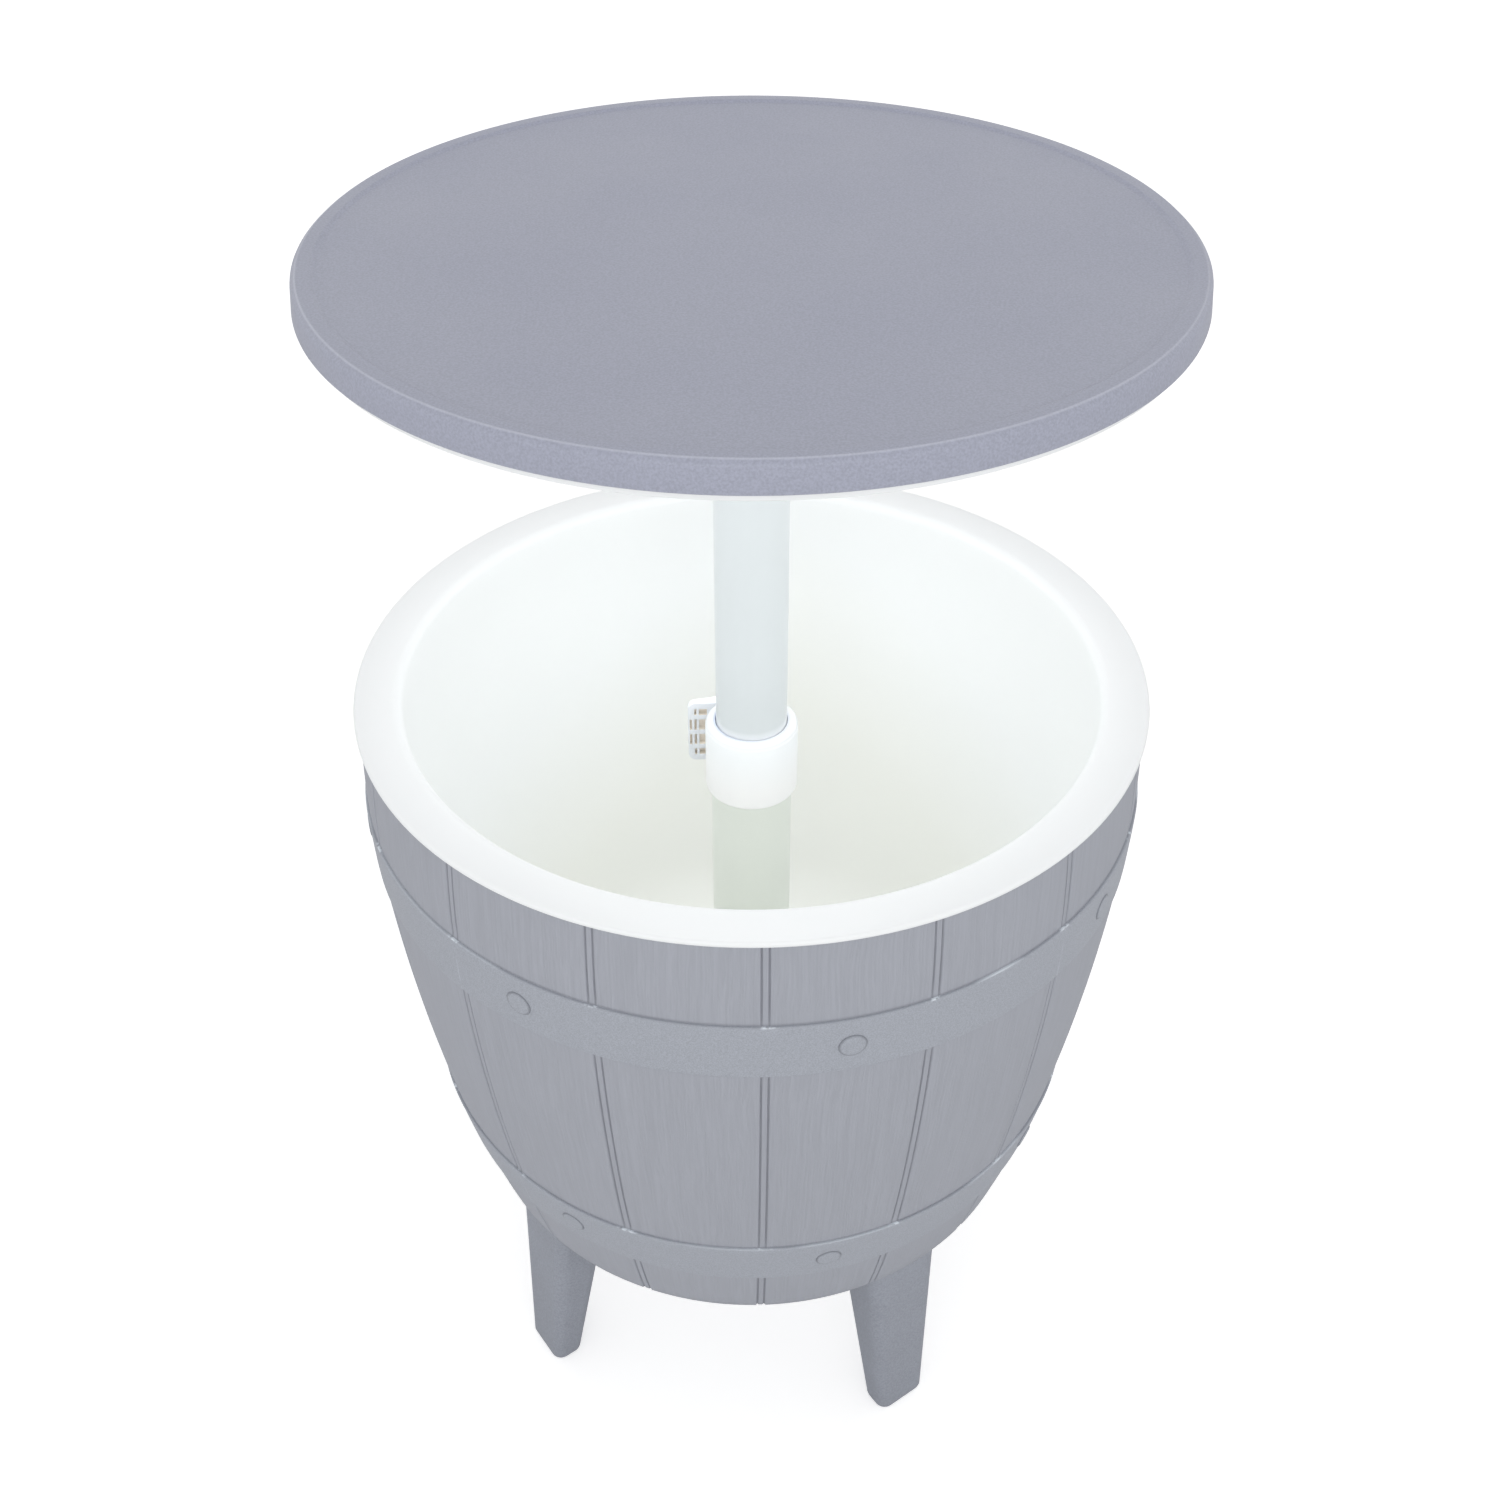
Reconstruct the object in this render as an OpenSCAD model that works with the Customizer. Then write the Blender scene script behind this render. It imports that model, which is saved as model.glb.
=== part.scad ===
// Cooler table: a stave barrel bucket on four legs, under a round top that rises on a telescopic mast.
// Millimetres, +Z up. The origin is on the floor, under the middle of the barrel, and -Y is the front.
// The top is drawn raised and locked. It slides down by lift until it closes the bucket.

/* [Barrel] */
// Height of the barrel's underside above the floor
leg_h = 166; // [120:1:220]
// Height of the barrel from its underside to its top edge
barrel_h = 375; // [330:1:430]
// Radius of the barrel at its top edge
barrel_top_r = 244.6; // [225:0.2:265]
// How much wider the barrel is at its widest line than at its top edge
belly_bulge = 1.8; // [0:0.1:8]
// Depth of the widest line below the top edge
belly_drop = 51; // [30:1:80]
// Radius of the barrel at its underside
barrel_foot_r = 194.6; // [185:0.2:215]
// Wall of the barrel
shell_t = 3.2; // [2.4:0.1:4.5]
// Floor of the barrel
shell_floor_t = 3; // [2.4:0.1:5]
// Number of staves, two for each rivet of a hoop
stave_count = 16; // [16:8:32]
// Width of the seam between two staves
seam_w = 6; // [3:0.2:9]
// Depth of the seam
seam_d = 1; // [0.5:0.1:1.4]

/* [Hoops] */
// Width of both hoops
hoop_w = 41; // [28:1:52]
// How far the hoops stand proud of the staves
hoop_t = 1.6; // [1:0.1:2.6]
// Depth of the upper hoop's middle below the top edge
upper_hoop_drop = 80; // [60:1:110]
// Height of the lower hoop's middle above the underside
lower_hoop_rise = 71; // [50:1:100]
// Radius of a rivet head
rivet_r = 8; // [4:0.2:9]
// Height of a rivet head above its hoop
rivet_h = 0.8; // [0.6:0.1:2]

/* [Bucket] */
// Gap between the barrel's wall and the bucket's wall
wall_gap = 20; // [12:0.5:26]
// Wall and floor of the bucket
bucket_t = 3; // [2.4:0.1:4]
// Gap between the two floors, filled by pads round the bolts and the drain
floor_gap = 3; // [2:0.5:6]
// Inside radius between the bucket's floor and its wall, as a share of the barrel's foot radius
bowl_corner_share = 0.2312; // [0.12:0.0004:0.26]
// How far the bucket's rim stands out past the barrel
lip_proud = 3.4; // [1.6:0.2:5]
// Thickness of the rim
lip_t = 3; // [2:0.2:5]
// Rounding of the rim's inner edge
mouth_edge_r = 6; // [3:0.5:8]

/* [Legs] */
// How far a leg's outer face lies inside the barrel's edge
leg_set_in = 12.3; // [9:0.1:20]
// How much further out a leg's outer face is at the floor
leg_splay = 7.3; // [0:0.1:20]
// Width of a leg at the barrel
leg_top_w = 60; // [50:1:70]
// Width of a leg at the floor
leg_foot_w = 39; // [28:1:48]
// Depth of a leg at the barrel
leg_top_d = 45; // [36:1:50]
// Depth of a leg at the floor
leg_foot_d = 23; // [18:1:34]

/* [Mast] */
// How much less the top rises than the barrel is high
lift_short = 111; // [103:1:195]
// Diameter of the upper tube
mast_d = 45.8; // [40:0.2:50]
// Wall of the upper tube
upper_tube_t = 1.5; // [1:0.1:2]
// Wall of the lower tube
lower_tube_t = 1.6; // [1.2:0.1:2.4]
// Wall of the clamp bush between the two tubes
bush_t = 1.55; // [1.2:0.05:3]
// Wall of the clamp collar
collar_t = 3.75; // [3:0.25:6]
// Height of the clamp collar
collar_h = 51; // [44:1:60]
// Length of the lower tube that the collar grips
collar_grip = 20; // [14:1:24]
// Radius of the mast's foot flange
base_r = 52; // [46:1:60]

/* [Lever] */
// Length of the cam lever from its pin to its tip
lever_l = 32.7; // [30:0.1:38]
// Thickness of the lever at its pin
lever_root_t = 9; // [7:0.5:10]
// Thickness of the lever at its tip
lever_tip_t = 4; // [3:0.5:6]
// Number of columns of pockets in the lever's inner face
lever_columns = 3; // [1:1:4]

/* [Table top] */
// How far the top's skirt stands out past the bucket's rim
table_over = 0.6; // [0:0.2:12]
// Height of the top's skirt
skirt_h = 17; // [14:0.5:26]
// Rounding of the top's outer edge
table_edge_r = 3; // [2:0.2:5]
// Width of the raised band round the top
band_w = 11; // [6:0.5:20]
// Height of the raised band
band_h = 1.5; // [0.8:0.1:3]
// Thickness of the top's plate
top_t = 3; // [2:0.2:4]
// How far the white liner shows below the skirt
liner_show = 4.8; // [2:0.2:10]
// Wall of the liner
liner_t = 2.5; // [2:0.1:3.5]
// Depth of the step that fits into the bucket's mouth
step_h = 10; // [4:0.5:14]

/* [Drain] */
// Distance of the drain from the middle, towards the back, as a share of the barrel's foot radius
drain_share = 0.488; // [0.43:0.002:0.52]
// Bore radius of the drain
drain_bore_r = 8; // [6:0.2:10]

/* [Hidden] */
$fn = 96;

// Colours
grey = [0.67, 0.68, 0.71];
leg_grey = [0.62, 0.63, 0.66];
white = [0.95, 0.96, 0.97];
tube_green = [0.84, 0.87, 0.86];
steel = [0.72, 0.73, 0.75];
rubber = [0.12, 0.12, 0.13];

// Fits and the overrun of every cut
overrun = 1;
snug = 0.3;
bore_fit = 0.05;
slide_fit = 0.1;
face_gap = 0.1;
closed_gap = 0.2;
stop_gap = 0.5;
slice_t = 0.2;

// Heights, from the floor up
rim_z = leg_h + barrel_h;
rim_top = rim_z + lip_t;
lift = barrel_h - lift_short;
shell_floor_z = leg_h + shell_floor_t;
bucket_z0 = shell_floor_z + floor_gap;
bucket_z1 = bucket_z0 + bucket_t;
seat_z = rim_top + closed_gap + lift;
skirt_z = seat_z + liner_show;
table_z = skirt_z + skirt_h;
panel_z = seat_z - step_h;

// Barrel outline: the share of each power sets how the wall draws in below the widest line
belly_z = rim_z - belly_drop;
belly_r = barrel_top_r + belly_bulge;
belly_share = 0.87;
belly_power = 1.6;
foot_power = 5;
outline_steps = 18;
arc_steps = 8;
edge_steps = 4;
function draw_in(x) = belly_share * pow(x, belly_power) + (1 - belly_share) * pow(x, foot_power);
function above_belly(z) = belly_r - belly_bulge * pow((z - belly_z) / belly_drop, 2);
function below_belly(z) = belly_r - (belly_r - barrel_foot_r) * draw_in((belly_z - z) / (belly_z - leg_h));
function barrel_r(z) = z > belly_z ? above_belly(z) : below_belly(max(z, leg_h));
function between(a, b, i, n) = a + (b - a) * i / n;
function barrel_line(z0, z1, offset, n) =
    [for (i = [0:n]) let (z = between(z0, z1, i, n)) [barrel_r(z) + offset, z]];
function arc_line(r, z, radius, from_deg, to_deg, n) =
    [for (i = [0:n]) let (a = between(from_deg, to_deg, i, n)) [r + radius * cos(a), z + radius * sin(a)]];
function reversed(list) = [for (i = [len(list) - 1:-1:0]) list[i]];

// Staves, hoops and rivets
stave_deg = 360 / stave_count;
rivet_count = stave_count / 2;
hoop_edge = 0.8;
hoop_sink = 1.2 * seam_d;
hoop_steps = 6;
rivet_top_r = rivet_r - 1.2 * hoop_edge;
slope_probe = 2;
function wall_lean(z) = atan((barrel_r(z + slope_probe) - barrel_r(z - slope_probe)) / (2 * slope_probe));
hoop_heights = [rim_z - upper_hoop_drop, leg_h + lower_hoop_rise];

// Bucket
lip_r = barrel_top_r + lip_proud;
lip_edge_r = 2;
bowl_corner_r = bowl_corner_share * barrel_foot_r;
hem_h = 6;
hem_t = 3;
hem_r = barrel_top_r - shell_t - snug;
function bucket_wall(z) = barrel_r(z) - shell_t - wall_gap;
function bowl_line(z0, corner, inset) = concat(
    [for (i = [0:arc_steps]) let (a = between(0, 90, i, arc_steps), z = z0 + corner * (1 - cos(a)))
        [bucket_wall(z) - inset - corner * (1 - sin(a)), z]],
    [for (i = [1:outline_steps]) let (z = between(z0 + corner, rim_top - mouth_edge_r, i, outline_steps))
        [bucket_wall(z) - inset, z]]);
mouth_z = rim_top - mouth_edge_r;
mouth_r = bucket_wall(mouth_z) - bucket_t;

// Screws and bolts
screw_head_r = 4.2;
screw_head_h = 2.2;
screw_r = 1.9;
screw_l = 16;
key_r = 1.9;
bolt_r = 2.5;
bolt_head_r = 4.4;
bolt_head_h = 3.6;
bolt_nut_r = 4.6;
bolt_nut_h = 4;
bolt_tail = 2;
bolt_hole_r = bolt_r + snug;

// Legs
leg_top_r = barrel_foot_r - leg_set_in;
leg_foot_r = leg_top_r + leg_splay;
leg_corner_top = 11;
leg_corner_foot = 8;
leg_fn = 32;
foot_edge = 4;
foot_inset = 3;
tenon_w = 28;
tenon_d = 14;
leg_mid_r = leg_top_r - leg_top_d / 2;
leg_screw_side = (leg_top_w / 2 + tenon_w / 2) / 2;
front_left_deg = 225;

// Mast
upper_r = mast_d / 2;
upper_in_r = upper_r - upper_tube_t;
bush_in_r = upper_r + slide_fit;
lower_in_r = bush_in_r + bush_t + bore_fit;
lower_r = lower_in_r + lower_tube_t;
collar_in_r = lower_r + bore_fit;
collar_r = collar_in_r + collar_t;
gasket_t = 1.5;
base_t = 6;
base_web_t = 3;
base_sleeve_h = 30;
base_sleeve_t = 5;
base_sleeve_r = lower_r + bore_fit + base_sleeve_t;
base_bolt_r = (base_r + base_sleeve_r) / 2;
base_bolt_count = 4;
base_z0 = bucket_z1 + gasket_t;
base_z1 = base_z0 + base_t;
base_screw_z = base_z1 + base_sleeve_h / 2;
base_screw_l = base_sleeve_t + lower_tube_t - face_gap;
pad_r = base_r + snug;
lower_z0 = base_z0 + base_web_t;
bottom_gap = 2.5;
plug_flange_t = 2;
plug_neck_step = 3;
glide_h = 9.3;
plug_spigot_h = 20;
bush_tail = 12;
bush_recess = 2;
plug_z0 = lower_z0 + bottom_gap + lift;
glide_z0 = plug_z0 + plug_flange_t + face_gap;
glide_z1 = glide_z0 + glide_h;
upper_z0 = glide_z1 + face_gap;
bush_z0 = glide_z1 + stop_gap;
lower_z1 = bush_z0 + bush_tail;
collar_z0 = lower_z1 - collar_grip;
collar_z1 = collar_z0 + collar_h;
collar_edge = 3;
collar_slope_deg = 66;
collar_crown = 1.6;
collar_chamfer = 0.4;
lip_gap = 0.4;
collar_mouth_r = upper_r + lip_gap;
bush_z1 = collar_z1 - bush_recess;
split_w = 2.4;
plug_neck_r = upper_in_r - plug_neck_step;

// Clamp ears, eye bolt and cam lever behind the collar
ear_t = 8.8;
ear_reach = 13;
ear_inset = 5;
ear_r = collar_r + ear_reach;
clamp_y = ear_r - ear_t * 0.75;
clamp_z = (collar_z0 + collar_z1) / 2;
clamp_r = 3;
eye_r = 6;
eye_h = 14;
hub_r = 6.2;
hub_gap = 0.3;
cam_rise = 0.8;
pin_r = 3;
pin_inset = 2;
eye_gap = 1.2;
clamp_nut_r = 5.8;
clamp_nut_h = 5;
ear_x = split_w / 2 + ear_t;
pivot_x = -(ear_x + hub_gap + hub_r + cam_rise);
lever_gap = 2.1;
lever_z0 = collar_z0 + lever_gap;
lever_z1 = collar_z1 - lever_gap;
lever_h = lever_z1 - lever_z0;
lever_deg = 197;
lever_bend = 12;
lever_bend_l = 18;
lever_corner = 5;
lever_steps = 8;
lever_skin = 1.4;
slim_columns = 2;
pocket_w = 1.5;
pocket_wide_w = 5.2;
pocket_rib = 1.6;
pocket_rim = 0.8;
pocket_rib_share = 0.077;
pocket_tall_share = 0.18;
pocket_short_share = 0.1026;

// Table top, liner and mast socket
table_r = lip_r + table_over;
skirt_draft = 1.2;
skirt_t = 2;
top_r = table_r - skirt_draft;
skirt_in_r = top_r - skirt_t;
band_slope = 1.5;
plate_z = table_z - band_h - top_t;
liner_r = skirt_in_r - snug;
liner_lap = 8;
liner_edge = 1;
step_gap = 4;
step_edge = 4;
step_r = mouth_r - step_gap;
rib_t = 2;
rib_h = 8;
rib_count = 12;
rib_ring_shares = [0.4, 0.66];
boss_r = 5;
rim_boss_share = 0.8;
rib_from_r = table_r * rib_ring_shares[0] + rib_t / 2;
rib_to_r = liner_r - liner_t - 2 * snug;
lid_screw_count = 8;
socket_screw_count = 4;
socket_t = 4;
socket_r = 50;
socket_wall = 5;
sleeve_gap = 3;
sleeve_r = upper_r + bore_fit + socket_wall;
socket_screw_ring = (socket_r + sleeve_r) / 2;
socket_z0 = panel_z - socket_t;
sleeve_z0 = collar_z1 + lift + sleeve_gap;
socket_screw_z = (sleeve_z0 + socket_z0) / 2;
socket_side_deg = 22.5;
gusset_t = 3;
lid_screw_ring = table_r * rim_boss_share;

// Drain
drain_y = drain_share * barrel_foot_r;
drain_wall = 3.5;
drain_r = drain_bore_r + drain_wall;
drain_flange_r = drain_r + 1.6 * drain_wall;
drain_flange_t = 2.5;
drain_tail = 9;
drain_nut_r = drain_r + 1.4 * drain_wall;
drain_nut_h = 6;
seal_t = 2;
drain_stem_r = drain_bore_r - slide_fit;
drain_thread_h = 7.5;
drain_cap_t = 4;
drain_grip_t = 5;
drain_grip_h = 7;
drain_z0 = leg_h - drain_tail;
seal_z0 = drain_z0 - snug - seal_t;
cap_z1 = seal_z0 - face_gap;
cap_z0 = cap_z1 - drain_cap_t;

// A straight ring between two heights
module ring(outer_r, inner_r, z0, z1) {
    difference() {
        translate([0, 0, z0]) cylinder(h = z1 - z0, r = outer_r);
        translate([0, 0, z0 - overrun]) cylinder(h = z1 - z0 + 2 * overrun, r = inner_r);
    }
}

// A round bar between two heights
module bar(r, z0, z1) {
    translate([0, 0, z0]) cylinder(h = z1 - z0, r = r);
}

// Copies at even angles round the middle, at one radius
module around(count, ring_r, first_deg = 0) {
    for (i = [0:count - 1])
        rotate([0, 0, first_deg + 360 * i / count]) translate([ring_r, 0, 0]) children();
}

// Pan head screw with its head below its seat at z 0 and its shank upwards
module pan_screw(shank_l) {
    difference() {
        union() {
            bar(screw_head_r, -screw_head_h, 0);
            bar(screw_r, 0, shank_l);
        }
        translate([0, 0, -screw_head_h - overrun])
            cylinder(h = overrun + screw_head_h / 2, r = key_r, $fn = 6);
    }
}

// The same screw turned so that its head looks along +X and its shank runs towards the middle
module side_screw(seat_r, z, shank_l) {
    translate([seat_r, 0, z]) rotate([0, -90, 0]) pan_screw(shank_l);
}

// Hole for a screw that enters a sleeve from its side, along +X from the middle
module side_hole(z, reach) {
    translate([0, 0, z]) rotate([0, 90, 0]) cylinder(h = reach, r = screw_r + bore_fit);
}

// Hexagon nut standing on a height
module hex_nut(across_r, bore_r, z0, z1) {
    difference() {
        translate([0, 0, z0]) cylinder(h = z1 - z0, r = across_r, $fn = 6);
        bar(bore_r, z0 - overrun, z1 + overrun);
    }
}

// One hoop moulded onto the staves, following their curve
module hoop(mid_z) {
    z0 = mid_z - hoop_w / 2;
    z1 = mid_z + hoop_w / 2;
    rotate_extrude() polygon(concat(
        [[barrel_r(z0) - hoop_sink, z0], [barrel_r(z0) + hoop_t - hoop_edge, z0]],
        barrel_line(z0 + hoop_edge, z1 - hoop_edge, hoop_t, hoop_steps),
        [[barrel_r(z1) + hoop_t - hoop_edge, z1], [barrel_r(z1) - hoop_sink, z1]]));
}

// Rivet heads of one hoop, on every other stave
module rivets(mid_z) {
    for (i = [0:rivet_count - 1])
        rotate([0, 0, stave_deg * (2 * i + 1)])
            translate([barrel_r(mid_z) + hoop_t - hoop_edge, 0, mid_z])
                rotate([0, 90 + wall_lean(mid_z), 0])
                    cylinder(h = rivet_h + hoop_edge, r1 = rivet_r, r2 = rivet_top_r);
}

// The layer that the seams are cut into
module seam_cuts() {
    intersection() {
        for (i = [0:stave_count - 1])
            rotate([0, 0, stave_deg * (i + 0.5)])
                translate([0, -seam_w / 2, leg_h - overrun])
                    cube([belly_r + overrun, seam_w, barrel_h + 2 * overrun]);
        rotate_extrude() polygon(concat(
            [[barrel_foot_r - seam_d, leg_h - overrun]],
            barrel_line(leg_h, rim_z, -seam_d, outline_steps),
            [[barrel_top_r - seam_d, rim_z + overrun], [belly_r + 2 * overrun, rim_z + overrun],
             [belly_r + 2 * overrun, leg_h - overrun]]));
    }
}

module shell_body() {
    rotate_extrude() polygon(concat(
        [[0, leg_h]],
        barrel_line(leg_h, rim_z, 0, outline_steps),
        reversed(barrel_line(shell_floor_z, rim_z, -shell_t, outline_steps)),
        [[0, shell_floor_z]]));
}

module outer_shell() {
    color(grey) difference() {
        union() {
            difference() {
                shell_body();
                seam_cuts();
            }
            for (z = hoop_heights) {
                hoop(z);
                rivets(z);
            }
            bar(pad_r, shell_floor_z - overrun, bucket_z0);
            translate([0, drain_y, 0]) bar(drain_flange_r, shell_floor_z - overrun, bucket_z0);
        }
        around(base_bolt_count, base_bolt_r, 45) bar(bolt_hole_r, leg_h - overrun, bucket_z0 + overrun);
        translate([0, drain_y, 0]) bar(drain_r + snug, leg_h - overrun, bucket_z0 + overrun);
        for (i = [0:3]) rotate([0, 0, front_left_deg + 90 * i]) leg_holes();
    }
}

// Openings in the barrel's floor for one leg's tenon and its two screws
module leg_holes() {
    translate([leg_mid_r - tenon_d / 2 - snug, -tenon_w / 2 - snug, leg_h - overrun])
        cube([tenon_d + 2 * snug, tenon_w + 2 * snug, shell_floor_t + 2 * overrun]);
    for (side = [-1, 1]) translate([leg_mid_r, side * leg_screw_side, 0])
        bar(screw_r + snug, leg_h - overrun, shell_floor_z + overrun);
}

module inner_bucket() {
    color(white) difference() {
        union() {
            rotate_extrude() polygon(concat(
                [[0, bucket_z0]],
                [for (p = bowl_line(bucket_z0, bowl_corner_r + bucket_t, 0)) if (p[1] < rim_z) p],
                [[bucket_wall(rim_z), rim_z], [lip_r, rim_z]],
                arc_line(lip_r - lip_edge_r, rim_top - lip_edge_r, lip_edge_r, 0, 90, edge_steps),
                arc_line(mouth_r + mouth_edge_r, mouth_z, mouth_edge_r, 90, 180, arc_steps),
                reversed([for (p = bowl_line(bucket_z1, bowl_corner_r, bucket_t)) if (p[1] < mouth_z) p]),
                [[0, bucket_z1]]));
            ring(hem_r, hem_r - hem_t, rim_z - hem_h, rim_z + lip_t / 2);
        }
        around(base_bolt_count, base_bolt_r, 45) bar(bolt_hole_r, bucket_z0 - overrun, bucket_z1 + overrun);
        translate([0, drain_y, 0]) bar(drain_r + snug, bucket_z0 - overrun, bucket_z1 + overrun);
    }
}

// One rounded slice of a leg, seen from above, with its outer face at face_r
module leg_slice(face_r, w, d, corner, z) {
    for (x = [face_r - corner, face_r - d + corner], y = [-w / 2 + corner, w / 2 - corner])
        translate([x, y, z]) cylinder(h = slice_t, r = corner, $fn = leg_fn);
}

module leg(turn_deg) {
    color(leg_grey) rotate([0, 0, turn_deg]) difference() {
        union() {
            hull() {
                leg_slice(leg_top_r, leg_top_w, leg_top_d, leg_corner_top, leg_h - slice_t);
                leg_slice(leg_foot_r, leg_foot_w, leg_foot_d, leg_corner_foot, foot_edge);
                leg_slice(leg_foot_r - foot_inset, leg_foot_w - 2 * foot_inset, leg_foot_d - 2 * foot_inset,
                          leg_corner_foot - foot_inset, 0);
            }
            translate([leg_mid_r - tenon_d / 2, -tenon_w / 2, leg_h - overrun])
                cube([tenon_d, tenon_w, shell_floor_t + overrun]);
        }
        for (side = [-1, 1]) translate([leg_mid_r, side * leg_screw_side, 0])
            bar(screw_r + bore_fit, leg_h - 1.5 * screw_l, leg_h + overrun);
    }
}

module leg_front_left() {
    leg(front_left_deg);
}

module leg_front_right() {
    leg(front_left_deg + 90);
}

module leg_rear_right() {
    leg(front_left_deg + 180);
}

module leg_rear_left() {
    leg(front_left_deg + 270);
}

module leg_screws() {
    color(steel) for (i = [0:3], side = [-1, 1])
        rotate([0, 0, front_left_deg + 90 * i])
            translate([leg_mid_r, side * leg_screw_side, shell_floor_z]) mirror([0, 0, 1])
                pan_screw(screw_l + shell_floor_t);
}

module mast_base() {
    color(white) difference() {
        union() {
            bar(base_r, base_z0, base_z1);
            bar(base_sleeve_r, base_z0, base_z1 + base_sleeve_h);
        }
        bar(lower_r + bore_fit, lower_z0, base_z1 + base_sleeve_h + overrun);
        around(base_bolt_count, base_bolt_r, 45) bar(bolt_hole_r, base_z0 - overrun, base_z1 + overrun);
        around(2, 0) side_hole(base_screw_z, base_r);
    }
}

module mast_gasket() {
    color(rubber) difference() {
        bar(base_r, bucket_z1, base_z0);
        around(base_bolt_count, base_bolt_r, 45)
            bar(bolt_r + bore_fit, bucket_z1 - overrun, base_z0 + overrun);
    }
}

module base_bolts() {
    shank_l = base_z1 - leg_h + bolt_nut_h + bolt_tail;
    color(steel) around(base_bolt_count, base_bolt_r, 45) difference() {
        union() {
            bar(bolt_head_r, base_z1, base_z1 + bolt_head_h);
            bar(bolt_r, base_z1 - shank_l, base_z1);
        }
        translate([0, 0, base_z1 + bolt_head_h / 2]) cylinder(h = bolt_head_h, r = key_r, $fn = 6);
    }
}

module base_nuts() {
    color(steel) around(base_bolt_count, base_bolt_r, 45)
        hex_nut(bolt_nut_r, bolt_r + bore_fit, leg_h - bolt_nut_h, leg_h);
}

module lower_tube() {
    color(tube_green) difference() {
        ring(lower_r, lower_in_r, lower_z0, lower_z1);
        around(2, 0) side_hole(base_screw_z, base_r);
    }
}

module lower_tube_screws() {
    color(steel) around(2, 0) side_screw(base_sleeve_r, base_screw_z, base_screw_l);
}

// Ears of the clamp, one on each side of the split, with round ends
module ear(side) {
    z0 = collar_z0 + ear_inset;
    z1 = collar_z1 - ear_inset;
    translate([side * (split_w + ear_t) / 2, 0, z0]) {
        translate([-ear_t / 2, 0, 0]) cube([ear_t, ear_r - ear_t / 2, z1 - z0]);
        translate([0, ear_r - ear_t / 2, 0]) cylinder(h = z1 - z0, r = ear_t / 2);
    }
}

// The collar's crown closes over the bush and leaves a narrow mouth round the upper tube
module clamp_collar() {
    top_z = collar_z1 + collar_crown;
    color(white) difference() {
        union() {
            rotate_extrude() polygon(concat(
                [[0, collar_z0]],
                arc_line(collar_r - collar_edge, collar_z0 + collar_edge, collar_edge, -90, 0, edge_steps),
                arc_line(collar_r - collar_edge, collar_z1 - collar_edge, collar_edge,
                    0, collar_slope_deg, edge_steps),
                [[collar_mouth_r, top_z], [0, top_z]]));
            for (side = [-1, 1]) ear(side);
        }
        bar(collar_in_r, collar_z0 - overrun, bush_z1 + face_gap);
        bar(collar_mouth_r, collar_z0 - overrun, top_z + overrun);
        translate([0, 0, top_z - collar_chamfer])
            cylinder(h = 2 * collar_chamfer, r1 = collar_mouth_r, r2 = collar_mouth_r + 2 * collar_chamfer);
        translate([-split_w / 2, 0, collar_z0 - overrun])
            cube([split_w, ear_r + overrun, collar_h + collar_crown + 2 * overrun]);
        translate([-ear_r, clamp_y, clamp_z]) rotate([0, 90, 0])
            cylinder(h = 2 * ear_r, r = clamp_r + bore_fit);
    }
}

module clamp_bush() {
    color(white) difference() {
        union() {
            bar(lower_in_r - bore_fit, bush_z0, lower_z1 + overrun);
            bar(lower_r, lower_z1, bush_z1);
        }
        bar(bush_in_r, bush_z0 - overrun, bush_z1 + overrun);
        translate([0, 0, bush_z1 - collar_chamfer])
            cylinder(h = 2 * collar_chamfer, r1 = bush_in_r, r2 = bush_in_r + 2 * collar_chamfer);
        translate([-split_w / 2, 0, lower_z1 + bush_recess]) cube([split_w, collar_r, collar_h]);
    }
}

// Eye bolt that draws the ears together
module clamp_bolt() {
    color(steel) difference() {
        union() {
            translate([pivot_x, clamp_y, clamp_z]) rotate([0, 90, 0])
                cylinder(h = -pivot_x + ear_x + clamp_nut_h + bolt_tail, r = clamp_r);
            translate([pivot_x, clamp_y, 0]) bar(eye_r, clamp_z - eye_h / 2, clamp_z + eye_h / 2);
        }
        translate([pivot_x, clamp_y, 0]) bar(pin_r + bore_fit, clamp_z - eye_h, clamp_z + eye_h);
    }
}

module clamp_nut() {
    color(steel) translate([0, clamp_y, clamp_z]) rotate([0, 90, 0])
        hex_nut(clamp_nut_r, clamp_r + bore_fit, ear_x, ear_x + clamp_nut_h);
}

module lever_pin() {
    color(steel) translate([pivot_x, clamp_y, 0]) bar(pin_r, lever_z0 + pin_inset, lever_z1 - pin_inset);
}

// Lever, drawn along its own +X from the pin, with its inner face towards +Y.
// Its arm bends away from the pin's line, so that the part beyond the collar faces forwards.
lever_xs = concat([for (i = [0:lever_steps]) lever_bend_l * i / lever_steps], [lever_l]);
function lever_mid(x) = lever_bend * (1 - pow(1 - min(x / lever_bend_l, 1), 2));
function lever_t(x) = between(lever_root_t, lever_tip_t, x, lever_l);
function lever_face(side) = [for (x = lever_xs) [x, lever_mid(x) + side * lever_t(x) / 2]];

// The hub stands off the pin towards the ears, so that it presses on them only when the lever is shut
module lever_plan() {
    linear_extrude(height = lever_h) union() {
        rotate([0, 0, -lever_deg]) translate([cam_rise, 0]) circle(r = hub_r);
        polygon(concat(lever_face(-1), reversed(lever_face(1))));
    }
}

// What rounds the tip's lower corner, seen from the side
module lever_corner_cut() {
    deep = 2 * (lever_root_t + lever_bend);
    corner_x = lever_l + snug - lever_corner;
    difference() {
        translate([corner_x, -deep / 2, -overrun])
            cube([lever_corner + overrun, deep, lever_corner + overrun]);
        translate([corner_x, deep, lever_corner]) rotate([90, 0, 0])
            cylinder(h = 2 * deep, r = lever_corner);
    }
}

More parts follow.
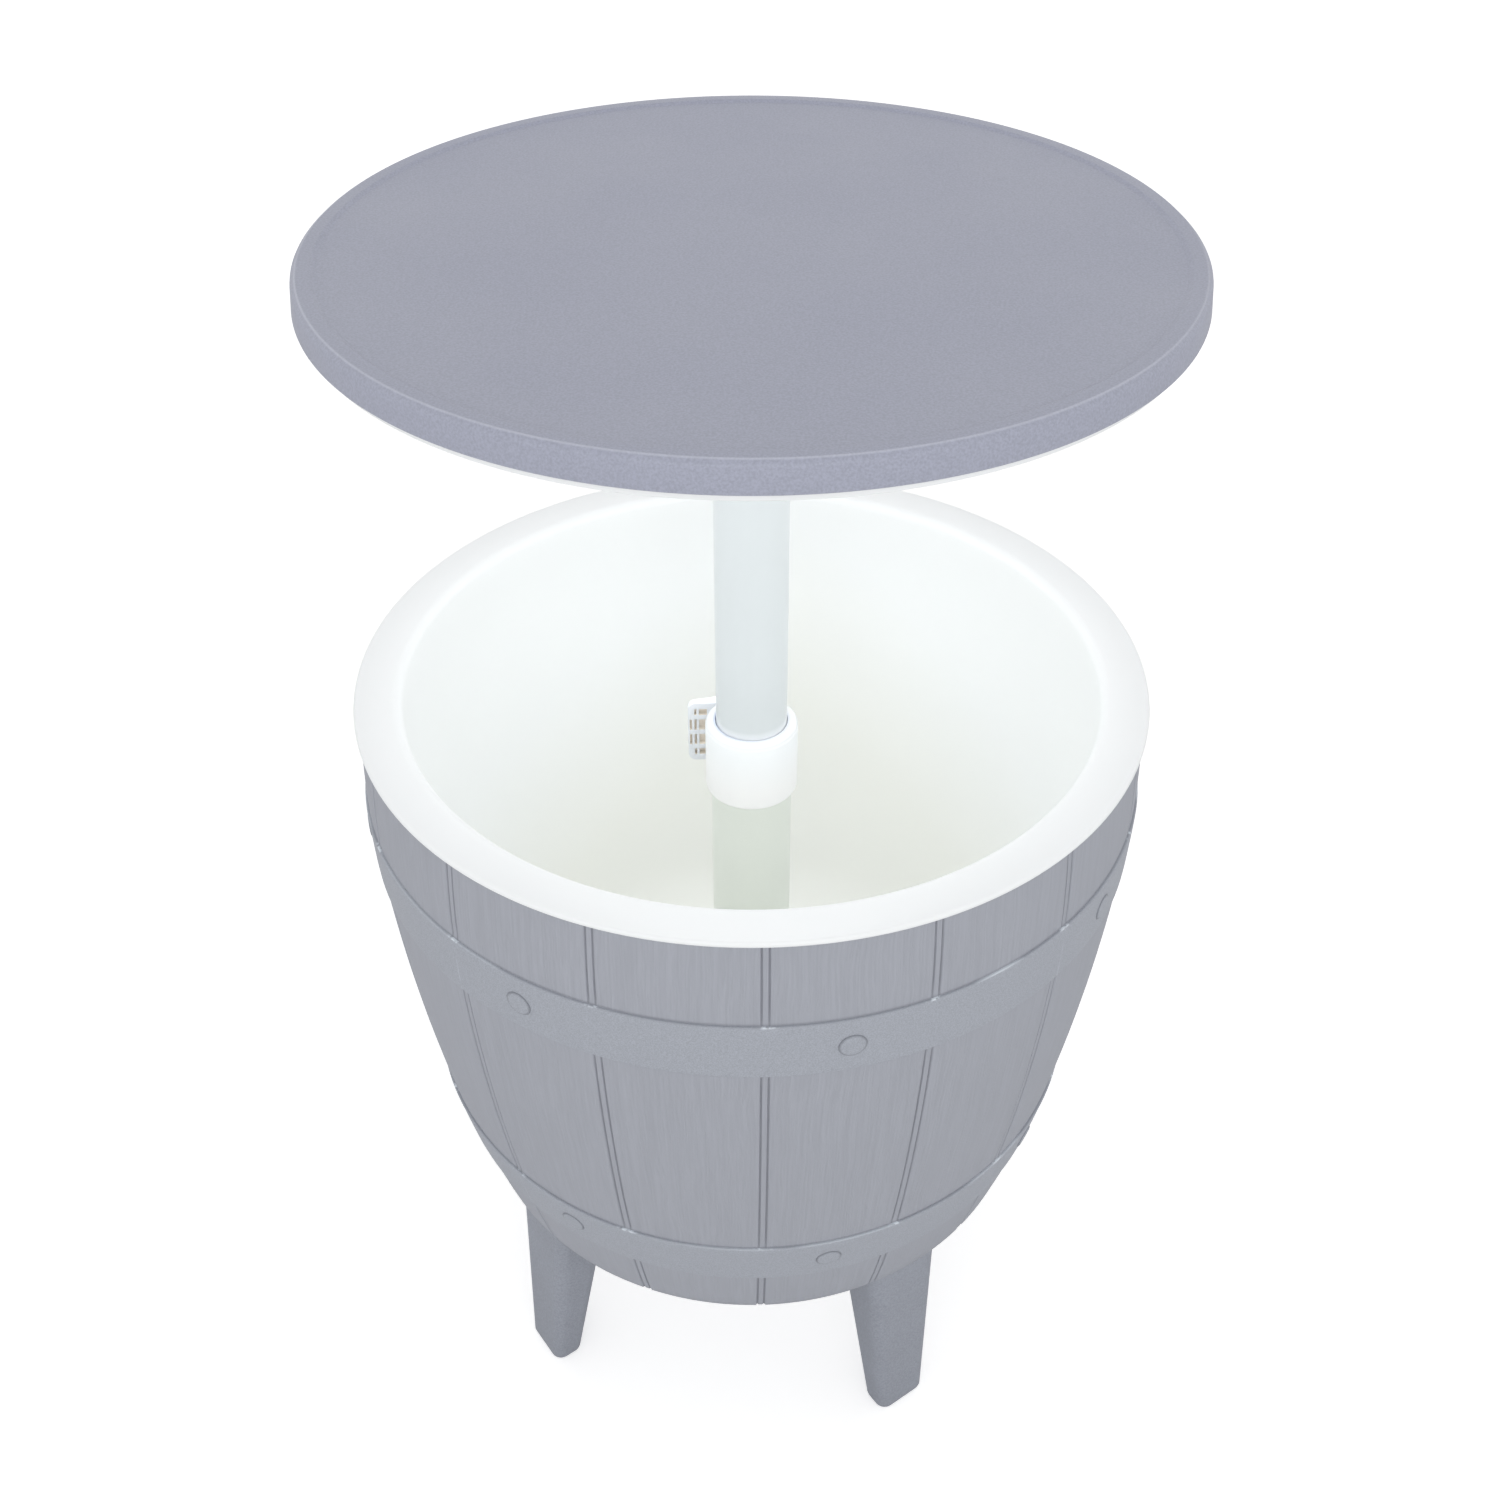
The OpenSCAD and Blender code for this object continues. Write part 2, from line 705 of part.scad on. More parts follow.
// Far end of a column of pockets, counted from the lever's tip
function column_end(c) = lever_l - pocket_rim
    - min(c, slim_columns) * (pocket_w + pocket_rib)
    - max(c - slim_columns, 0) * (pocket_wide_w + pocket_rib);

// Pockets in the lever's inner face: two tall rows about its middle, and a short row beyond each
module lever_pockets() {
    for (c = [0:lever_columns - 1], side = [-1, 1], short = [0, 1]) {
        wide = c < slim_columns ? pocket_w : pocket_wide_w;
        x1 = column_end(c);
        high_share = short == 1 ? pocket_short_share : pocket_tall_share;
        off_share = (pocket_rib_share + high_share) / 2 + short * (pocket_rib_share + pocket_tall_share);
        skin_y = lever_mid(x1) - lever_t(x1) / 2 + lever_skin;
        if (c > 0 || short == 0)
            translate([x1 - wide, skin_y, lever_h * (0.5 + side * off_share - high_share / 2)])
                cube([wide, lever_root_t + lever_bend, lever_h * high_share]);
    }
}

module cam_lever() {
    color(white) translate([pivot_x, clamp_y, lever_z0]) difference() {
        rotate([0, 0, lever_deg]) difference() {
            lever_plan();
            lever_corner_cut();
            translate([0, 0, lever_h]) mirror([0, 0, 1]) lever_corner_cut();
            lever_pockets();
        }
        bar(pin_r + bore_fit, -overrun, lever_h + overrun);
        bar(hub_r + cam_rise + eye_gap, (lever_h - eye_h) / 2 - eye_gap, (lever_h + eye_h) / 2 + eye_gap);
    }
}

// Wear ring that runs in the lower tube, held on the plug's neck
module mast_glide() {
    color(white) ring(lower_in_r - slide_fit, plug_neck_r + slide_fit, glide_z0, glide_z1);
}

module tube_plug() {
    color(white) {
        bar(lower_in_r - snug, plug_z0, plug_z0 + plug_flange_t);
        bar(plug_neck_r, plug_z0, upper_z0 + plug_spigot_h);
        bar(upper_in_r - bore_fit, upper_z0, upper_z0 + plug_spigot_h);
    }
}

module upper_tube() {
    color(tube_green) difference() {
        ring(upper_r, upper_in_r, upper_z0, socket_z0);
        around(2, 0, socket_side_deg) side_hole(socket_screw_z, socket_r);
    }
}

module mast_socket() {
    color(white) difference() {
        union() {
            bar(socket_r, socket_z0, panel_z);
            bar(sleeve_r, sleeve_z0, panel_z);
            around(socket_screw_count, 0, 0) translate([0, gusset_t / 2, 0]) rotate([90, 0, 0])
                linear_extrude(height = gusset_t) polygon([[sleeve_r - bore_fit, socket_z0 + socket_t / 2],
                    [sleeve_r - bore_fit, sleeve_z0 + socket_t], [socket_r - socket_t, socket_z0],
                    [socket_r - socket_t, socket_z0 + socket_t / 2]]);
        }
        bar(upper_r + bore_fit, sleeve_z0 - overrun, socket_z0);
        around(socket_screw_count, socket_screw_ring, 45)
            bar(screw_r + bore_fit, socket_z0 - overrun, panel_z + overrun);
        around(2, 0, socket_side_deg) side_hole(socket_screw_z, socket_r);
    }
}

module upper_tube_screws() {
    color(steel) around(2, 0, socket_side_deg)
        side_screw(sleeve_r, socket_screw_z, socket_wall + upper_tube_t + stop_gap);
}

module socket_screws() {
    color(steel) around(socket_screw_count, socket_screw_ring, 45)
        translate([0, 0, socket_z0]) pan_screw(socket_t + liner_t + screw_l);
}

module lid_liner() {
    color(white) difference() {
        rotate_extrude() polygon([
            [0, panel_z], [step_r - step_edge, panel_z], [step_r, panel_z + step_edge], [step_r, seat_z],
            [liner_r - liner_edge, seat_z], [liner_r, seat_z + liner_edge], [liner_r, skirt_z + liner_lap],
            [liner_r - liner_t, skirt_z + liner_lap], [liner_r - liner_t, seat_z + liner_t],
            [step_r - liner_t, seat_z + liner_t], [step_r - liner_t, panel_z + step_edge + liner_t / 2],
            [step_r - step_edge - liner_t / 2, panel_z + liner_t], [0, panel_z + liner_t]]);
        around(socket_screw_count, socket_screw_ring, 45)
            bar(screw_r + bore_fit, panel_z - overrun, panel_z + liner_t + overrun);
        around(lid_screw_count, lid_screw_ring)
            bar(screw_r + bore_fit, panel_z - overrun, panel_z + liner_t + overrun);
    }
}

module lid_screws() {
    color(steel) around(lid_screw_count, lid_screw_ring)
        translate([0, 0, panel_z]) pan_screw(liner_t + screw_l);
}

// Screw boss under the top's plate, down to the liner
module lid_boss() {
    difference() {
        bar(boss_r, panel_z + liner_t, plate_z + top_t / 2);
        bar(screw_r + bore_fit, panel_z, panel_z + liner_t + screw_l + stop_gap);
    }
}

module table_top() {
    color(grey) {
        rotate_extrude() polygon(concat(
            [[0, plate_z], [skirt_in_r, plate_z], [skirt_in_r, skirt_z], [table_r, skirt_z]],
            arc_line(top_r - table_edge_r, table_z - table_edge_r, table_edge_r, 0, 90, edge_steps),
            [[top_r - band_w, table_z], [top_r - band_w - band_slope, table_z - band_h],
             [0, table_z - band_h]]));
        for (share = rib_ring_shares)
            ring(table_r * share + rib_t, table_r * share, plate_z - rib_h, plate_z + top_t / 2);
        for (i = [0:rib_count - 1]) rotate([0, 0, 360 * (i + 0.5) / rib_count])
            translate([rib_from_r, -rib_t / 2, plate_z - rib_h])
                cube([rib_to_r - rib_from_r, rib_t, rib_h + top_t / 2]);
        around(lid_screw_count, lid_screw_ring) lid_boss();
        around(socket_screw_count, socket_screw_ring, 45) lid_boss();
    }
}

module drain_bushing() {
    color(white) translate([0, drain_y, 0]) difference() {
        union() {
            bar(drain_flange_r, bucket_z1, bucket_z1 + drain_flange_t);
            bar(drain_r, drain_z0, bucket_z1 + drain_flange_t);
        }
        bar(drain_bore_r, drain_z0 - overrun, bucket_z1 + drain_flange_t + overrun);
    }
}

module drain_nut() {
    color(white) translate([0, drain_y, 0])
        hex_nut(drain_nut_r, drain_r + bore_fit, leg_h - drain_nut_h, leg_h);
}

module drain_seal() {
    color(rubber) translate([0, drain_y, 0])
        ring(drain_r, drain_stem_r + slide_fit, seal_z0, seal_z0 + seal_t);
}

// Screw plug with a bar across its cap for two fingers
module drain_plug() {
    color(white) translate([0, drain_y, 0]) {
        bar(drain_stem_r, cap_z0, drain_z0 + drain_thread_h);
        bar(drain_flange_r, cap_z0, cap_z1);
        translate([-0.8 * drain_flange_r, -drain_grip_t / 2, cap_z0 - drain_grip_h])
            cube([1.6 * drain_flange_r, drain_grip_t, drain_grip_h + drain_cap_t / 2]);
    }
}

outer_shell();
inner_bucket();
leg_front_left();
leg_front_right();
leg_rear_right();
leg_rear_left();
leg_screws();
mast_base();
mast_gasket();
base_bolts();
base_nuts();
lower_tube();
lower_tube_screws();
clamp_collar();
clamp_bush();
clamp_bolt();
clamp_nut();
lever_pin();
cam_lever();
mast_glide();
upper_tube();
tube_plug();
mast_socket();
upper_tube_screws();
socket_screws();
lid_liner();
lid_screws();
table_top();
drain_bushing();
drain_nut();
drain_seal();
drain_plug();
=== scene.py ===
"""Looks of the cooler table: a stave barrel bucket on legs, under a round top on a telescopic mast."""

import math

import bmesh
import bpy
from bpy.props import FloatProperty, FloatVectorProperty, IntProperty, PointerProperty
from mathutils import Matrix, Vector


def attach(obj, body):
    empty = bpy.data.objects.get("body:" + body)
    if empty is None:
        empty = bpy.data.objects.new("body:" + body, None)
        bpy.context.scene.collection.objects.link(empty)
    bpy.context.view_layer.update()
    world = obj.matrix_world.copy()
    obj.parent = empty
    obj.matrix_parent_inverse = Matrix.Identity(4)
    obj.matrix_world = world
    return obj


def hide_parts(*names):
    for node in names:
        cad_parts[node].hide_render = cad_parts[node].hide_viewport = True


bl_info = {
    "name": "Cooler table",
    "version": (1, 0, 0),
    "blender": (4, 5, 0),
    "location": "View3D > Sidebar > Cooler table",
    "description": "Builds the pieces, finishes and stage of a barrel cooler table round its packed model",
    "category": "Object",
}

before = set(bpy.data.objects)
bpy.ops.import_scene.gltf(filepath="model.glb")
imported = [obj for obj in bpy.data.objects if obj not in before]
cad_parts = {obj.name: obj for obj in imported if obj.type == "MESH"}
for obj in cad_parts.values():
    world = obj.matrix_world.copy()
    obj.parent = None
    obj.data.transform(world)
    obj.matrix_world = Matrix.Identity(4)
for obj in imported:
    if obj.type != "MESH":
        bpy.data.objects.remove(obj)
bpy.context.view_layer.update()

# Sizes of the packed model in millimetres, with the mast's axis at 0, 0 and the floor at 0

MM = 0.001
STAVES = 16
RIVETS, FIRST_RIVET = 8, 22.5
UNDERSIDE, BARREL_FLOOR_T = 166.0, 3
BELLY_R, BELLY_Z = 246.4, 490
TOP_EDGE = 541.0
RIM_TOP = 544.0
SHELL_T = 3.2
BUCKET_SET_IN = 23.2
BUCKET_LOW, BUCKET_T = 172, 3
MOUTH_R = 6
HOOP_MIDDLES = (461.0, 237.0)
HOOP_W = 41.0
LEG_FACE, LEG_W, LEG_T, LEG_CORNER = 189.6, 39, 23, 8
UPPER_TUBE, UPPER_BORE = 22.9, 21.4
LOWER_TUBE, LOWER_BORE = 26.2, 24.6
COLLAR_LOW, COLLAR_HIGH = 449.9, 500.9
PIVOT, PIN_R = (-17.3, 36.4), 3
LEVER_DEG, LEVER_L, LEVER_ROOT, LEVER_TIP = 197, 32.7, 9.0, 4.0
LEVER_BEND, BEND_L, LEVER_CORNER, LEVER_LOW, LEVER_H = 12.0, 18.0, 5.0, 452.0, 46.8
DRAIN_Y, DRAIN_BORE = 94.965, 11.8
TOP_HIGH, TOP_FACE, TOP_UNDER, SKIRT_LOW = 830, 828.5, 825.5, 813
LINER_LOW, LINER_HIGH, SEAT_Z = 798.2, 800.7, 794.2
LID_SCREWS, SOCKET_SCREWS, FOOT_BOLTS = 198.88, 38.98, 41.625

# Sides of a full turn, and the angle in degrees from which an edge is drawn sharp

TURNS = 192
SHARP = 32


def shade(*channels):
    """Scene-linear colour of an sRGB one given from 0 to 255."""
    return tuple(v / 255 / 12.92 if v < 10.3 else ((v / 255 + 0.055) / 1.055) ** 2.4 for v in channels)


def length(name, description, default):
    """A length property with its default given in millimetres."""
    return FloatProperty(name=name, description=description, default=default * MM, unit="LENGTH")


def colour(name, description, *value):
    """A colour property with its default given as sRGB from 0 to 255."""
    return FloatVectorProperty(
        name=name, description=description, default=shade(*value), subtype="COLOR", size=3, min=0, max=1
    )


class CoolerSizes(bpy.types.PropertyGroup):
    """Sizes of the details that the packed model leaves plain"""

    seam_width: length("Seam width", "Width of the seam between two staves", 6.4)
    seam_depth: length("Seam depth", "Depth of the two channels of a seam", 1.2)
    seam_ramp: length("Seam ramp", "Length over which a seam rises to a hoop", 4)
    hoop_proud: length("Hoop height", "How far a hoop stands out from the staves", 1.6)
    rivet_radius: length("Rivet radius", "Radius of a rivet head", 8)
    rivet_height: length("Rivet height", "Height of a rivet head above its hoop", 0.8)
    pocket_width: length("Pocket width", "Width of a slim pocket in the lever", 1.5)
    pocket_wide: length("Wide pocket", "Width of a wide pocket in the lever", 5.2)
    pocket_rib: length("Pocket rib", "Width of the rib between two pockets", 1.6)
    pocket_columns: IntProperty(name="Pocket columns", description="Columns of pockets", default=3)


class CoolerColours(bpy.types.PropertyGroup):
    """Colours of the finishes"""

    barrel: colour("Barrel", "Moulded staves", 166, 169, 178)
    hoop: colour("Hoops", "Hoops and rivet heads", 166, 170, 179)
    leg: colour("Legs", "Moulded legs", 148, 152, 162)
    top: colour("Table top", "Top and skirt", 162, 165, 181)
    bucket: colour("Bucket", "Glossy bucket and rim", 250, 252, 253)
    # Painted shade: a warmer, deeper tone of bounced light near the bucket's floor and up behind the mast
    bucket_deep: colour("Bucket floor", "Bucket behind the mast and near its floor", 248, 249, 245)
    fitting: colour("Fittings", "Collar and other white mouldings", 249, 252, 254)
    lever: colour("Lever", "Clamp lever", 232, 236, 241)
    # Painted warm shade inside the lever's pockets, which are of the lever's white plastic
    pocket: colour("Pockets", "Inside of the lever's pockets", 253, 246, 235)
    tube: colour("Upper tube", "Powder coat of the upper tube", 211, 217, 219)
    lower_tube: colour("Lower tube", "Powder coat of the lower tube", 235, 240, 232)
    steel: colour("Steel", "Screws, bolts and pin", 190, 191, 194)
    rubber: colour("Rubber", "Gasket and drain seal", 38, 38, 40)


# Turned and lofted shapes in millimetres


def between(low, high, count):
    """Evenly spaced values from low to high, in count steps."""
    return [low + (high - low) * i / count for i in range(count + 1)]


def polar(r, a, *z):
    """A point at a radius and an angle in radians, with its height if one is given."""
    return (r * math.cos(a), r * math.sin(a), *z)


def arc(r, z, radius, start, stop, steps):
    """Points of a rounding in an outline, from one angle to another in degrees."""
    points = [polar(radius, math.radians(a)) for a in between(start, stop, steps)]
    return [(r + across, z + up) for across, up in points]


def smoothed(mesh, sharp=SHARP):
    """The mesh with smooth faces, apart from its sharp edges."""
    mesh.shade_smooth()
    mesh.set_sharp_from_angle(angle=math.radians(sharp))
    return mesh


def finished(bm, name, sharp=SHARP):
    """A smooth mesh in metres from a bmesh in millimetres."""
    bmesh.ops.recalc_face_normals(bm, faces=bm.faces)
    mesh = bpy.data.meshes.new(name)
    bm.to_mesh(mesh)
    bm.free()
    mesh.transform(Matrix.Scale(MM, 4))
    return smoothed(mesh, sharp)


def bridge(bm, lower, upper, closed=True):
    """Faces between two rings of vertices. A ring of one vertex is a pole."""
    count = max(len(lower), len(upper))
    if count == 1:
        return
    for i in range(count if closed else count - 1):
        j = (i + 1) % count
        corners = [lower[i], lower[j]] if len(lower) > 1 else [lower[0]]
        corners += [upper[j], upper[i]] if len(upper) > 1 else [upper[0]]
        bm.faces.new(corners)


def turned(name, outline, turns=TURNS, centre=(0, 0), sharp=SHARP):
    """A closed mesh turned from an outline of (radius, height) points, outwards along the bottom first."""
    bm = bmesh.new()
    rings = []
    for r, z in outline:
        angles = [2 * math.pi * k / turns for k in range(turns)] if r > 1e-6 else [0]
        points = [polar(r, a) for a in angles]
        rings.append([bm.verts.new((centre[0] + x, centre[1] + y, z)) for x, y in points])
    for lower, upper in zip(rings, rings[1:] + rings[:1]):
        bridge(bm, lower, upper)
    return finished(bm, name, sharp)


def rod(name, radius, low, high, turns=64, centre=(0, 0)):
    """A plain cylinder between two heights."""
    return turned(name, [(0, low), (radius, low), (radius, high), (0, high)], turns, centre)


def stacked(name, loops, sharp=SHARP):
    """A closed mesh through a stack of loops of (x, y, z) points, with a flat face at each end."""
    bm = bmesh.new()
    rings = [[bm.verts.new(p) for p in loop] for loop in loops]
    for lower, upper in zip(rings, rings[1:]):
        bridge(bm, lower, upper)
    bm.faces.new(list(reversed(rings[0])))
    bm.faces.new(rings[-1])
    return finished(bm, name, sharp)


def pulled(name, outline, low, high, sharp=SHARP):
    """A prism from a plan outline of (x, y) points between two heights."""
    return stacked(name, [[(x, y, z) for x, y in outline] for z in (low, high)], sharp)


def block(name, x, y, z):
    """A plain box between pairs of limits."""
    return pulled(name, [(x[0], y[0]), (x[1], y[0]), (x[1], y[1]), (x[0], y[1])], *z)


def joined(name, *meshes):
    """One mesh without materials from several."""
    bm = bmesh.new()
    for mesh in meshes:
        bm.from_mesh(mesh)
    mesh = bpy.data.meshes.new(name)
    bm.to_mesh(mesh)
    bm.free()
    return mesh


# Modifiers, each baked to a plain mesh


def loose(mesh):
    """An object in the scene for a mesh that is still being worked on."""
    thing = bpy.data.objects.new(mesh.name, mesh)
    bpy.context.scene.collection.objects.link(thing)
    return thing


def baked(thing, *helpers):
    """The mesh of a thing with its modifiers done. The thing and its helpers leave the scene."""
    name = thing.name
    graph = bpy.context.evaluated_depsgraph_get()
    mesh = bpy.data.meshes.new_from_object(thing.evaluated_get(graph), depsgraph=graph)
    for extra in (thing, *helpers):
        bpy.data.objects.remove(extra)
    mesh.name = name
    return mesh


def carved(mesh, tool, operation="DIFFERENCE", sharp=SHARP):
    """The mesh after a Boolean with a tool mesh, whose material goes onto the cut faces."""
    thing, helper = loose(mesh), loose(tool)
    modifier = thing.modifiers.new("carve", "BOOLEAN")
    modifier.operation = operation
    modifier.solver = "EXACT"
    modifier.object = helper
    modifier.material_mode = "TRANSFER"
    return smoothed(baked(thing, helper), sharp)


def softened(mesh, width, steps=3, limit=40, sharp=50):
    """The mesh with its edges rounded where they turn by more than a limit in degrees."""
    thing = loose(mesh)
    modifier = thing.modifiers.new("round", "BEVEL")
    modifier.width = width * MM
    modifier.segments = steps
    modifier.limit_method = "ANGLE"
    modifier.angle_limit = math.radians(limit)
    modifier.harden_normals = False
    return smoothed(baked(thing), sharp)


# Node trees


def reckoned(operation, swapped=False):
    """A method that puts a Math node on a wire and other values."""

    def method(wire, *others):
        values = (*others, wire) if swapped else (wire, *others)
        return put(wire.tree, "ShaderNodeMath", dict(enumerate(values)), operation=operation)[0]

    return method


class Wire:
    """An output of a node, which can be reckoned with like a number."""

    def __init__(self, tree, socket):
        self.tree, self.socket = tree, socket

    __add__ = reckoned("ADD")
    __sub__ = reckoned("SUBTRACT")
    __rsub__ = reckoned("SUBTRACT", swapped=True)
    __mul__ = reckoned("MULTIPLY")
    __truediv__ = reckoned("DIVIDE")
    __rtruediv__ = reckoned("DIVIDE", swapped=True)
    __mod__ = reckoned("MODULO")
    __gt__ = reckoned("GREATER_THAN")
    __lt__ = reckoned("LESS_THAN")
    __abs__ = reckoned("ABSOLUTE")
    at_least = reckoned("MAXIMUM")
    at_most = reckoned("MINIMUM")
    times_plus = reckoned("MULTIPLY_ADD")
    floor = reckoned("FLOOR")
    rounded = reckoned("ROUND")
    sign = reckoned("SIGN")
    root = reckoned("SQRT")
    cosine = reckoned("COSINE")
    sine = reckoned("SINE")
    angle_over = reckoned("ARCTAN2")

    def ramp(self, low, high, to_low=0.0, to_high=1.0):
        """The value mapped from one range to another, and held at the ends."""
        return put(self.tree, "ShaderNodeMapRange", {0: self, 1: low, 2: high, 3: to_low, 4: to_high})[0]

    def mix(self, first, second):
        """A colour between two, by this share of the second."""
        return mixed(self.tree, self, first, second)

    def tones(self, tint, low, high):
        """A tint from darker to lighter, by this share of the lighter."""
        return self.mix(scaled(tint, low), scaled(tint, high))


class Wires:
    """The outputs of a node by name or number."""

    def __init__(self, tree, node):
        self.tree, self.node = tree, node

    def __getitem__(self, key):
        return Wire(self.tree, self.node.outputs[key])


def put(tree, kind, inputs=None, **settings):
    """The outputs of a new node, after each of its inputs is linked to a wire or set to a value."""
    node = tree.nodes.new(kind)
    for key, value in settings.items():
        setattr(node, key, value)
    for key, value in (inputs or {}).items():
        if isinstance(value, Wire):
            tree.links.new(value.socket, node.inputs[key])
        else:
            node.inputs[key].default_value = value
    return Wires(tree, node)


def spaced(label):
    """A socket's name from a keyword."""
    return label.replace("_", " ")


def node_group(name, kind="Shader", **inputs):
    """Turns a function that fills a node tree into one that gives the group, which is built once.

    An input is given as its default, or as its kind of socket where it has none.
    """

    def wrapped(fill):
        def group():
            if name in bpy.data.node_groups:
                return bpy.data.node_groups[name]
            tree = bpy.data.node_groups.new(name, kind + "NodeTree")
            for label, default in inputs.items():
                bare = isinstance(default, str)
                socket = "NodeSocket" + (default if bare else type(default).__name__.capitalize())
                made = tree.interface.new_socket(spaced(label), in_out="INPUT", socket_type=socket)
                if not bare:
                    made.default_value = default
            results = fill(tree, put(tree, "NodeGroupInput"))
            socket = "NodeSocketGeometry" if kind == "Geometry" else "NodeSocketFloat"
            for label in results:
                tree.interface.new_socket(label, in_out="OUTPUT", socket_type=socket)
            put(tree, "NodeGroupOutput", results)
            return tree

        group.__doc__ = fill.__doc__
        return group

    return wrapped


def xyz(tree, x=0.0, y=0.0, z=0.0):
    """A vector from its three parts."""
    return put(tree, "ShaderNodeCombineXYZ", {0: x, 1: y, 2: z})[0]


# Geometry Nodes trees


def copies_of(tree, inputs):
    """Instances on points, made real."""
    copies = put(tree, "GeometryNodeInstanceOnPoints", inputs)
    return put(tree, "GeometryNodeRealizeInstances", {"Geometry": copies[0]})[0]


def painted(tree, source, geometry):
    """The result of a tree: its geometry with the material that the tree is given."""
    inputs = {"Geometry": geometry, "Material": source["Material"]}
    return {"Geometry": put(tree, "GeometryNodeSetMaterial", inputs)[0]}


@node_group(
    "Ring of copies", "Geometry", Geometry="Geometry", Count=8, Radius=0.0, First_Angle=0.0,
    Merge_Distance=0.00001, Material="Material",
)
def ring_tree(tree, source):
    """Copies of the piece at even angles round a line, at one radius, merged and given a material."""
    step = 2 * math.pi / source["Count"]
    angle = put(tree, "GeometryNodeInputIndex")[0].times_plus(step, source["First Angle"])
    place = xyz(tree, angle.cosine() * source["Radius"], angle.sine() * source["Radius"])
    points = put(tree, "GeometryNodePoints", {"Count": source["Count"], "Position": place})
    turn = put(tree, "FunctionNodeEulerToRotation", {"Euler": xyz(tree, z=angle)})
    inputs = {"Points": points[0], "Instance": source["Geometry"], "Rotation": turn[0]}
    inputs = {"Geometry": copies_of(tree, inputs), "Distance": source["Merge Distance"]}
    return painted(tree, source, put(tree, "GeometryNodeMergeByDistance", inputs)[0])


@node_group(
    "Pocket grid", "Geometry", Geometry="Geometry", Columns=3, Slim_Columns=2, Width=0.0015, Wide=0.0052,
    Rib=0.0016, Rim=0.0008, Row_Rib=0.077 * LEVER_H * MM, Tall=0.18 * LEVER_H * MM,
    Short=0.1026 * LEVER_H * MM, Height=LEVER_H * MM, Length=LEVER_L * MM, Bend=LEVER_BEND * MM,
    Bend_Length=BEND_L * MM, Root=LEVER_ROOT * MM, Tip=LEVER_TIP * MM, Skin=0.0014, Depth=0.02,
    Material="Material",
)
def pocket_tree(tree, source):
    """A grid of boxes that cut the pockets into the lever's inner face, counted from its tip."""
    index = put(tree, "GeometryNodeInputIndex")[0]
    column = index % source["Columns"]
    row = ((index + 0.5) / source["Columns"]).floor()
    is_wide = (column + 0.5) > source["Slim Columns"]
    width = is_wide.times_plus(source["Wide"] - source["Width"], source["Width"])
    slim_part = column.at_most(source["Slim Columns"]) * (source["Width"] + source["Rib"])
    wide_part = (column - source["Slim Columns"]).at_least(0.0) * (source["Wide"] + source["Rib"])
    end = source["Length"] - (source["Rim"] + (slim_part + wide_part))
    unbent = 1.0 - (end / source["Bend Length"]).at_most(1.0)
    bent = 1.0 - unbent * unbent
    thick = (end / source["Length"]).times_plus(source["Tip"] - source["Root"], source["Root"])
    floor = bent.times_plus(source["Bend"], source["Skin"]) + thick * 0.5 * -1.0
    off = row - 1.5
    outer = abs(off) > 1.0
    high = outer.times_plus(source["Short"] - source["Tall"], source["Tall"])
    away = outer.times_plus(source["Row Rib"] + source["Tall"], (source["Row Rib"] + high) * 0.5)
    level = off.sign().times_plus(away, source["Height"] * 0.5)
    place = xyz(tree, width.times_plus(-0.5, end), source["Depth"].times_plus(0.5, floor), level)
    points = put(tree, "GeometryNodePoints", {"Count": source["Columns"] * 4.0, "Position": place})
    inputs = {
        "Points": points[0],
        "Selection": 1.0 - outer * (column < 0.5),
        "Instance": put(tree, "GeometryNodeMeshCube", {"Size": (1.0, 1.0, 1.0)})[0],
        "Scale": xyz(tree, width, source["Depth"], high),
    }
    return painted(tree, source, copies_of(tree, inputs))


def grown(mesh, tree, values, sharp=SHARP):
    """The mesh that a Geometry Nodes tree makes of a template, with its inputs set by identifier."""
    thing = loose(mesh)
    modifier = thing.modifiers.new(tree.name, "NODES")
    modifier.node_group = tree
    for item in tree.interface.items_tree:
        if item.item_type == "SOCKET" and item.in_out == "INPUT" and item.name in values:
            modifier[item.identifier] = values[item.name]
    result = baked(thing)
    result.set_sharp_from_angle(angle=math.radians(sharp))
    return result


def ring_of(mesh, count, radius, first, material, sharp=SHARP):
    """Copies of a template at even angles round the mast, in millimetres and degrees."""
    values = {"Count": count, "Radius": radius * MM, "First Angle": math.radians(first), "Material": material}
    return grown(mesh, ring_tree(), values, sharp)


def placed(name, mesh, material, body, slot, *nodes):
    """The finished piece: its material, the body it rides on, its slot and the nodes it stands for."""
    thing = bpy.data.objects.new(name, mesh)
    bpy.context.scene.collection.objects.link(thing)
    if not [m for m in mesh.materials if m]:
        mesh.materials.clear()
        mesh.materials.append(material)
    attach(thing, body)
    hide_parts(*nodes)


def dressed(node, material):
    """A packed node that keeps its shape and gets a finish."""
    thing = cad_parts[node]
    if not thing.material_slots:
        thing.data.materials.append(material)
    for holder in thing.material_slots:
        holder.material = material


# Shader node groups, which measure in metres


def object_point(tree):
    """The point on the piece in the model's own frame."""
    return put(tree, "ShaderNodeTexCoord")["Object"]


def split(tree, vector):
    """The three parts of a vector."""
    parts = put(tree, "ShaderNodeSeparateXYZ", {0: vector})
    return parts[0], parts[1], parts[2]


def distance_from_axis(tree, x, y):
    """How far a point is from the mast's axis."""
    return put(tree, "ShaderNodeVectorMath", {0: xyz(tree, x, y)}, operation="LENGTH")["Value"]


def noise(tree, vector, scale, detail=2.0, roughness=0.5):
    """Procedural noise from 0 to 1."""
    inputs = {"Vector": vector, "Scale": scale, "Detail": detail, "Roughness": roughness}
    return put(tree, "ShaderNodeTexNoise", inputs)[0]


def mixed(tree, factor, first, second, blend="MIX"):
    """A blend of two colours."""
    return put(tree, "ShaderNodeMix", {0: factor, 6: first, 7: second}, data_type="RGBA", blend_type=blend)[2]


